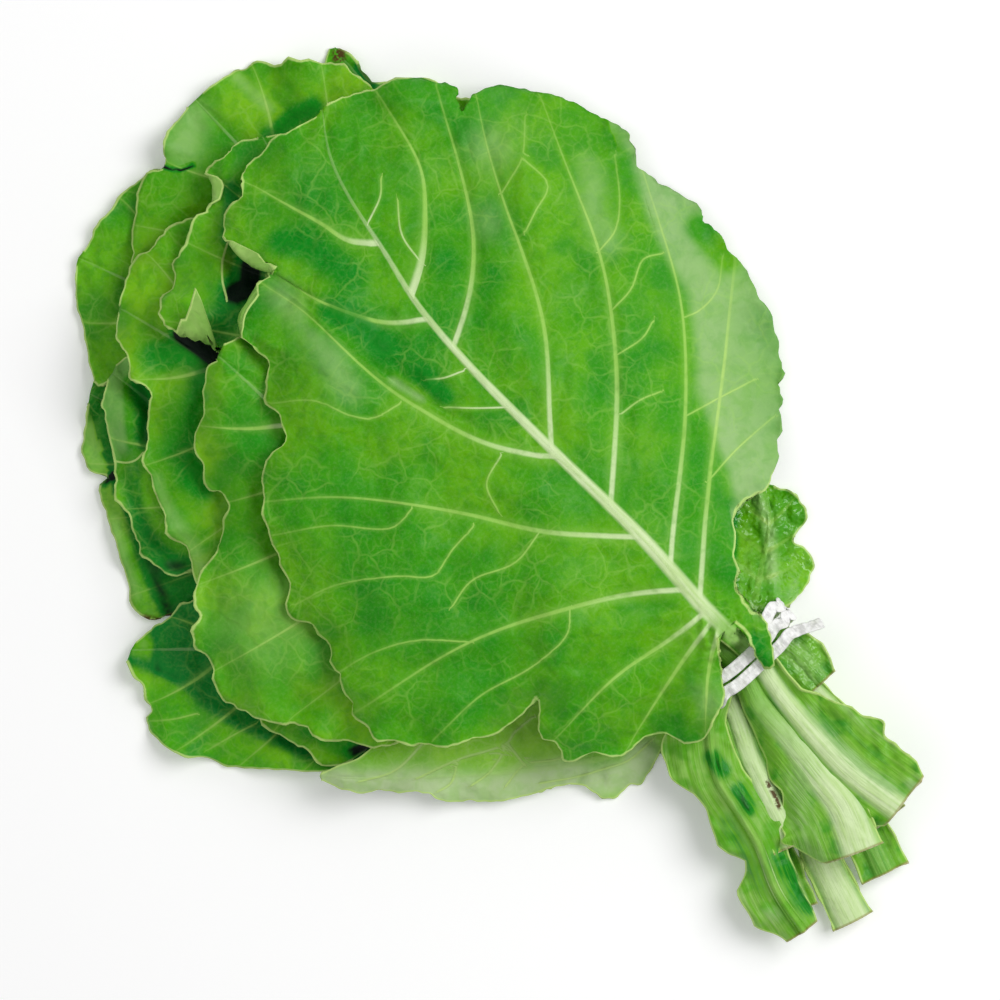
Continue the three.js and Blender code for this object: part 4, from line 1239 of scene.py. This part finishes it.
smallLeaf = {
    "piece": "small_crinkled_leaf", "node": "small_leaf", "finish": "wet", "size": 0.55,
    "stem": [[15, -27], [15, -13], [13, 0]], "heights": [21, 21.4], "atCut": {"halfWidth": 6},
    "wings": [[(0, 5), (0.3, 7), (0.6, 4), (1, 1)], [(0, 2), (0.3, 7), (0.6, 4), (1, 1)]],
    "rib": [[13, 10], [22, 16], [33, 23], [43, 31], [50, 41]],
    "right": [[14, 7], [17, 6.5], [22, 5.5], [30, 0.5], [36, 3], [43, 6.5], [44.5, 13], [43.5, 18],
              [47, 19.5], [50.5, 19.5], [54, 22], [56, 27], [55, 32], [52, 37.5]],
    "left": [[10, 11], [9.5, 17], [19, 30], [29, 40], [38, 46], [46, 46]],
    "ridges": [spot(3.5, 2.5, (46, 44), (43, 35), (38, 25.5), (28, 14))],
    # its tones are a painted sheen along its crest, painted shade in the deep fold beside it, and a painted
    # highlight on its stalk
    "tones": [spot(2.8, -0.8, (46, 44), (43, 35), (38, 25.5), (28, 14)),
              spot(3, 1.9, (33, 42), (26, 35), (17, 27), (10, 18)), spot(5, -0.9, (15, -8), (14, -22))],
    "cream": [(0, 0.7), (1, 0.3)], "neckCrumple": 0.8, "rows": 120, "columns": 36, "reach": 5,
    "veinCount": 4,
    "relief": {"cup": 1, "ruffle": 1.4, "ripple": 1.0, "fine": 0.5, "pucker": 1.1, "swell": 0.6},
}

frontLeaf = {
    "piece": "big_front_leaf", "node": "front_leaf", "finish": "front",
    "stem": [[3, -80], [-1, -56], [-1, -36], [0, -20], [3, 0]], "heights": [25, 23.6], "wingRise": (-5, 3),
    "atCut": {"halfWidth": 5.4}, "cream": [(0, 1), (0.82, 1), (0.9, 0.4), (1, 0.3)],
    "wings": [[(0, 3), (0.07, 8), (0.17, 7.5), (0.38, 2.6), (0.6, 2.4), (1, 1)],
              [(0, 10), (0.06, 14), (0.13, 13), (0.2, 13.5), (0.28, 16.5), (0.34, 15), (0.46, 12),
               (0.55, 8), (0.62, 3), (1, 1)]],
    "rib": [[1.5, 13], [1.2, 24], [2, 60], [0, 105], [-1, 150], [0.5, 177], [5, 200], [10, 226], [14, 238],
            [19, 247], [24.5, 254.5]],
    "right": [[6, 13], [6.5, 7], [4.5, 2], [2, -3.5], [2.5, -8], [6, -8.5], [9.5, -5], [13, 0], [14.5, 5],
              [13, 10], [12.5, 15], [18, 25], [28, 36], [35, 41.5], [43, 42], [50, 40], [56, 42.5],
              [62, 47], [81.5, 65], [93, 82], [97, 92], [100, 112], [101.5, 135], [101.5, 142], [98.5, 151],
              [96.3, 159], [96.8, 164], [100, 167], [102.5, 171.5], [102, 177], [99, 183], [94, 198],
              [86.5, 208], [78, 218], [70, 221], [62, 219], [65, 227], [61, 236], [49, 245.5], [42, 248],
              [37, 251.5], [27, 254.5]],
    "left": [[-3, 13], [-15, -3.5], [-28, -10.5], [-33, -11.5], [-40, -4], [-42, 1], [-52, 4], [-57, 4.5],
             [-67.5, 13], [-75, 18], [-73, 22], [-73, 25.5], [-76, 29], [-72, 35], [-66.5, 41], [-66, 43],
             [-69, 41.5], [-81, 41.5], [-92, 45.5], [-106, 55], [-114.5, 65], [-120, 72], [-119, 78],
             [-120, 84], [-114.5, 96], [-112, 105], [-108.5, 110], [-108.5, 118], [-111.5, 124],
             [-111, 130], [-107, 132.5], [-103, 137], [-101, 144], [-92, 161], [-80, 173], [-67, 176],
             [-63, 190], [-56, 197], [-53, 203], [-53, 209], [-54, 214], [-51, 218.5], [-44, 221],
             [-36, 222], [-27, 222], [-32, 226], [-34, 234], [-32, 248], [-26, 251], [-15, 253], [-13, 258],
             [-5, 258], [5, 258.5], [14, 256], [21, 254]],
    "rightVeins": [[[2, 27], [18, 42], [36, 58], [67, 84], [98, 112]],
                   [[2, 43], [14, 54], [45, 80], [74, 113], [90, 144], [97, 158]],
                   [[1, 75], [12, 85], [35, 107], [62, 144], [76, 178], [88, 206]],
                   [[0, 105], [10, 117], [29.5, 141], [50, 186], [60, 205], [70, 220]],
                   [[0, 157], [18, 167], [33, 181], [45, 200], [62, 233]],
                   [[1, 180], [13, 187], [27, 201], [36, 213], [43, 247]]],
    "leftVeins": [[[1.5, 16], [-8, 10], [-18, 2], [-31, -11]],
                  [[1.5, 19], [-14, 16], [-30, 12], [-57, 4.5]],
                  [[1.4, 23], [-16, 24], [-40, 28], [-73, 26]],
                  [[1, 33], [-15, 46], [-35, 58], [-70, 74], [-119, 84]],
                  [[2, 59], [-10, 71], [-24, 86], [-38, 108], [-68, 145], [-90, 163]],
                  [[0.4, 101], [-11, 113.5], [-19, 129], [-23.5, 144.5], [-27, 157], [-29, 173],
                   [-29.5, 191], [-30, 205], [-34, 222]],
                  [[0, 171], [-13, 181], [-20, 192], [-26, 206], [-28, 222]],
                  [[5, 203], [-3, 211], [-5, 222], [-9, 236], [-14, 255]]],
    "branches": [[[51.5, 186.5], [57, 188], [66, 191], [78, 202]],
                 [[66, 191], [66, 177], [56, 173], [48, 170]],
                 [[63, 146.3], [73, 148], [82, 155], [93, 169]],
                 [[51.5, 127.2], [62, 128], [73, 133], [80, 130]], [[41.5, 113.8], [53, 112], [60, 114]],
                 [[27.5, 97], [36, 96], [44, 93]], [[70, 106.8], [76, 105], [86, 106], [97, 114]],
                 [[-16, 155], [-11, 151], [-4, 148]], [[-18, 143], [-10, 135], [-1, 127]],
                 [[-40, 104], [-52, 103], [-63, 101], [-73, 110], [-92, 123], [-108, 128]],
                 [[-15, 116], [-26, 112], [-30, 101]],
                 [[-29, 155], [-40, 158], [-45, 164], [-51, 177], [-64, 188]],
                 [[-35, 58], [-42, 52], [-60, 52], [-81, 57], [-104, 57]],
                 [[8.5, 212], [18, 216], [23, 221]], [[-70, 74], [-84, 88], [-100, 96], [-114, 99]],
                 [[34, 57], [52, 58], [70, 57]], [[45, 80], [60, 76], [74, 72]],
                 [[-52, 124], [-62, 124], [-78, 140], [-96, 152]], [[12, 187], [14, 200], [22, 211]],
                 [[-24, 86], [-38, 84], [-54, 90], [-66, 88]]],
    "folds": [{"line": [[-6, 108], [-12, 115], [-19.5, 130], [-24, 145], [-28, 158], [-30, 173], [-30, 192],
                        [-30, 205]], "rise": 2.2, "drop": 2.6, "spread": 14, "sharp": 4.0}],
    # its tones are painted shade along the crease and under overlapping edges, a painted sheen over its
    # right side, beside the crease and on its stalk's wings, and some darker patches of its own green
    "tones": [spot(6, 1.3, (-25, 197), (-20, 187), (-19, 174)), spot(16, 0.45, (31, 220)),
              spot(8, 0.9, (-14, 221), (-10, 202)), spot(6, 0.8, (-21, 229)), spot(8, 0.8, (19, 182)),
              spot(5, 0.8, (29, 167)), spot(4, 0.8, (-16, 158), (-15, 145)), spot(14, 0.5, (-14, 158)),
              spot(2.5, -1.0, (-25, 163), (-22, 151)),
              spot(8, -0.5, (-33, 214), (-33, 200), (-36, 184), (-39, 172)),
              sideSpot(8, 50, -0.85, (93, 166), (81, 142), (76, 126), (72.5, 114), (58, 94), (50.5, 86),
                       (46, 72), (41, 57), (35, 47)), spot(7, -0.5, (84, 172), (72, 158), (68, 146)),
              spot(22, 0.5, (-78, 84)), spot(16, 0.3, (-52, 44)), spot(4, 0.9, (3, -6), (7, -1)),
              spot(5, 0.9, (97, 112), (97, 128)), spot(7, 0.6, (96, 174)), spot(10, -0.4, (40, 182)),
              spot(12, -0.5, (60, 202)), spot(16, 0.65, (0, 236)), spot(9, -0.5, (-22, -2)),
              spot(5, -1.1, (12, -79)), spot(5, 0.4, (-30, 2), (-40, 4)), spot(7, -0.4, (50, 62), (44, 46)),
              spot(4, 0.7, (8, 4)), spot(2.8, -1.0, (4.3, -31), (3.2, -45), (3.5, -61), (6, -72)),
              spot(2.4, -0.5, (14, -34), (15, -50), (17, -62)),
              spot(2.4, 0.5, (9, -36), (9, -50), (11, -64))],
    "plainRims": [spot(5, 3, (62, 236), (66, 226), (63, 219), (78, 218), (94, 198), (102, 177), (97, 161),
                       (101, 142), (100, 112), (93, 82), (62, 47))],
    "neckCrumple": 2.0, "rows": 318, "columns": 62, "reach": 20,
    "relief": {"cup": -5, "ruffle": 1.8, "swell": 2.2, "pucker": 1.3},
    "flaps": [{"side": "left", "start": (-51, 208), "end": (-32, 222), "toward": (0.9, -0.42),
               "radius": 1.3, "turn": 2.75, "widths": [(0, 0), (0.25, 7), (0.6, 10), (0.8, 5), (1, 0)]},
              {"side": "left", "start": (-31, 222.5), "end": (-32, 246), "toward": (1, -0.15),
               "radius": 1.2, "turn": 2.75, "widths": [(0, 0), (0.15, 4), (0.5, 9), (0.85, 4), (1, 0)]}],
}

leaves = [narrowLeaf, lowerLeaf, outerLeaf, backLeaf, loopedLeaf, tipLeaf, upperLeaf, curledLeaf,
          wrappingLeaf, leftLeaf, smallLeaf, frontLeaf]

tieTop = {"left": -21, "right": 12, "near": -9, "far": 9, "height": 32.5}
firstSeed = 100
seedStep = 10


def layLeaves():
    heights = newMap(-ground["airGap"])
    overTie = np.meshgrid(np.linspace(tieTop["left"], tieTop["right"], 40),
                          np.linspace(tieTop["near"], tieTop["far"], 20))
    for number, leaf in enumerate(leaves):
        if leaf is frontLeaf:                     # its lowest lobe lies on the tie
            np.maximum.at(heights, cellsOf(*overTie), tieTop["height"])
        other = "middle" if leaf["finish"] == "wrapping" else "under"
        growLeaf(leaf, heights, [finishes[leaf["finish"]], finishes[other]], firstSeed + seedStep * number)


layLeaves()
print("the leaves are laid on each other")


# the ribbon tie

tieRibbon = {
    "halfWidth": 23.6, "low": 1.1, "high": 32.0, "corner": 0.42, "wide": 4.6, "thick": 0.5,
    "wire": 0.35, "wireShare": 0.16, "crinkle": 0.16, "crinkleLength": 3.2, "sway": 0.5, "swayLength": 14,
    "pitch": 5.6, "start": 0.3 * math.pi, "turns": 2, "steps": 420, "columns": 9, "curl": 5.0,
    "tail": 11, "tailSteps": 40, "tailBend": (0.3, -0.7, 0.9),
}
ribbonWhite = {
    "plain": colour(246, 246, 244), "creaseShade": colour(196, 196, 192), "stained": colour(220, 224, 206),
}


def ribbonFinish():
    f = Finish("white ribbon")
    tones = ribbonWhite
    creases = f.noise(f.place((1.0, 0.35, 1.0)), 0.55, 4.0, 0.65)
    # greyer along the creases: painted shade in the creases
    creaseShaded = f.blend(f.between(creases, 0.42, 0.7, 0.0, 0.7), tones["plain"], tones["creaseShade"])
    stain = f.between(f.noise(f.place(), 0.2), 0.5, 0.7, 0.0, 0.3)
    f.finished(f.blend(stain, creaseShaded, tones["stained"]), creases, 0.6 * mm)
    f.surface.inputs["Roughness"].default_value = 0.3
    return f.material


def windRibbon():
    tie = tieRibbon
    turns = np.linspace(0, tie["turns"], tie["steps"])
    angle = tie["start"] + turns * 2 * math.pi
    middle = (tie["low"] + tie["high"]) / 2
    tall = (tie["high"] - tie["low"]) / 2

    def boxy(values):
        return np.sign(values) * np.abs(values) ** tie["corner"]

    path = np.stack([tie["halfWidth"] * boxy(np.cos(angle)), tie["pitch"] * (turns - 1),
                     middle + tall * boxy(np.sin(angle))], axis=1)
    path[:, 1] += tie["sway"] * ripples(5, tie["swayLength"], np.arange(tie["steps"]) * 0.7, turns * 0)
    share = np.linspace(0, 1, tie["tailSteps"])[1:, None]
    bend = np.array(tie["tailBend"]) * tie["curl"]
    tails = []
    for end, back in ((path[0], path[3]), (path[-1], path[-4])):
        way = (end - back) / np.linalg.norm(end - back)
        tails.append(end + way * tie["tail"] * share + bend * share ** 2 * (1 - 0.6 * share))
    path = evenly(np.vstack([tails[0][::-1], path, tails[1]]), tie["steps"] + 80)
    along = np.gradient(path, axis=0)
    along /= np.linalg.norm(along, axis=1)[:, None]
    out = path - (0, 0, middle)
    out[:, 1] = 0
    wide = np.cross(along, out)
    wide /= np.linalg.norm(wide, axis=1)[:, None]
    out = np.cross(wide, along)
    profile = np.linspace(-1, 1, tie["columns"])
    around = np.arange(len(path))[:, None] * 0.6 + profile * 2
    crinkle = tie["crinkle"] * ripples(9, tie["crinkleLength"], around, profile * 3)
    rise = tie["wire"] * np.exp(-(profile / tie["wireShare"]) ** 2) + crinkle
    middleLine = path[:, None, :] + wide[:, None, :] * (profile * tie["wide"] / 2)[None, :, None]
    top = middleLine + out[:, None, :] * (tie["thick"] / 2 + rise)[..., None]
    bottom = middleLine + out[:, None, :] * (crinkle - tie["thick"] / 2)[..., None]
    piece = closedSkin("white_ribbon_tie", top, bottom, {}, [ribbonFinish()] * 2)
    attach(piece, "root")
    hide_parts("twist_tie")


windRibbon()
print("the ribbon is wound")
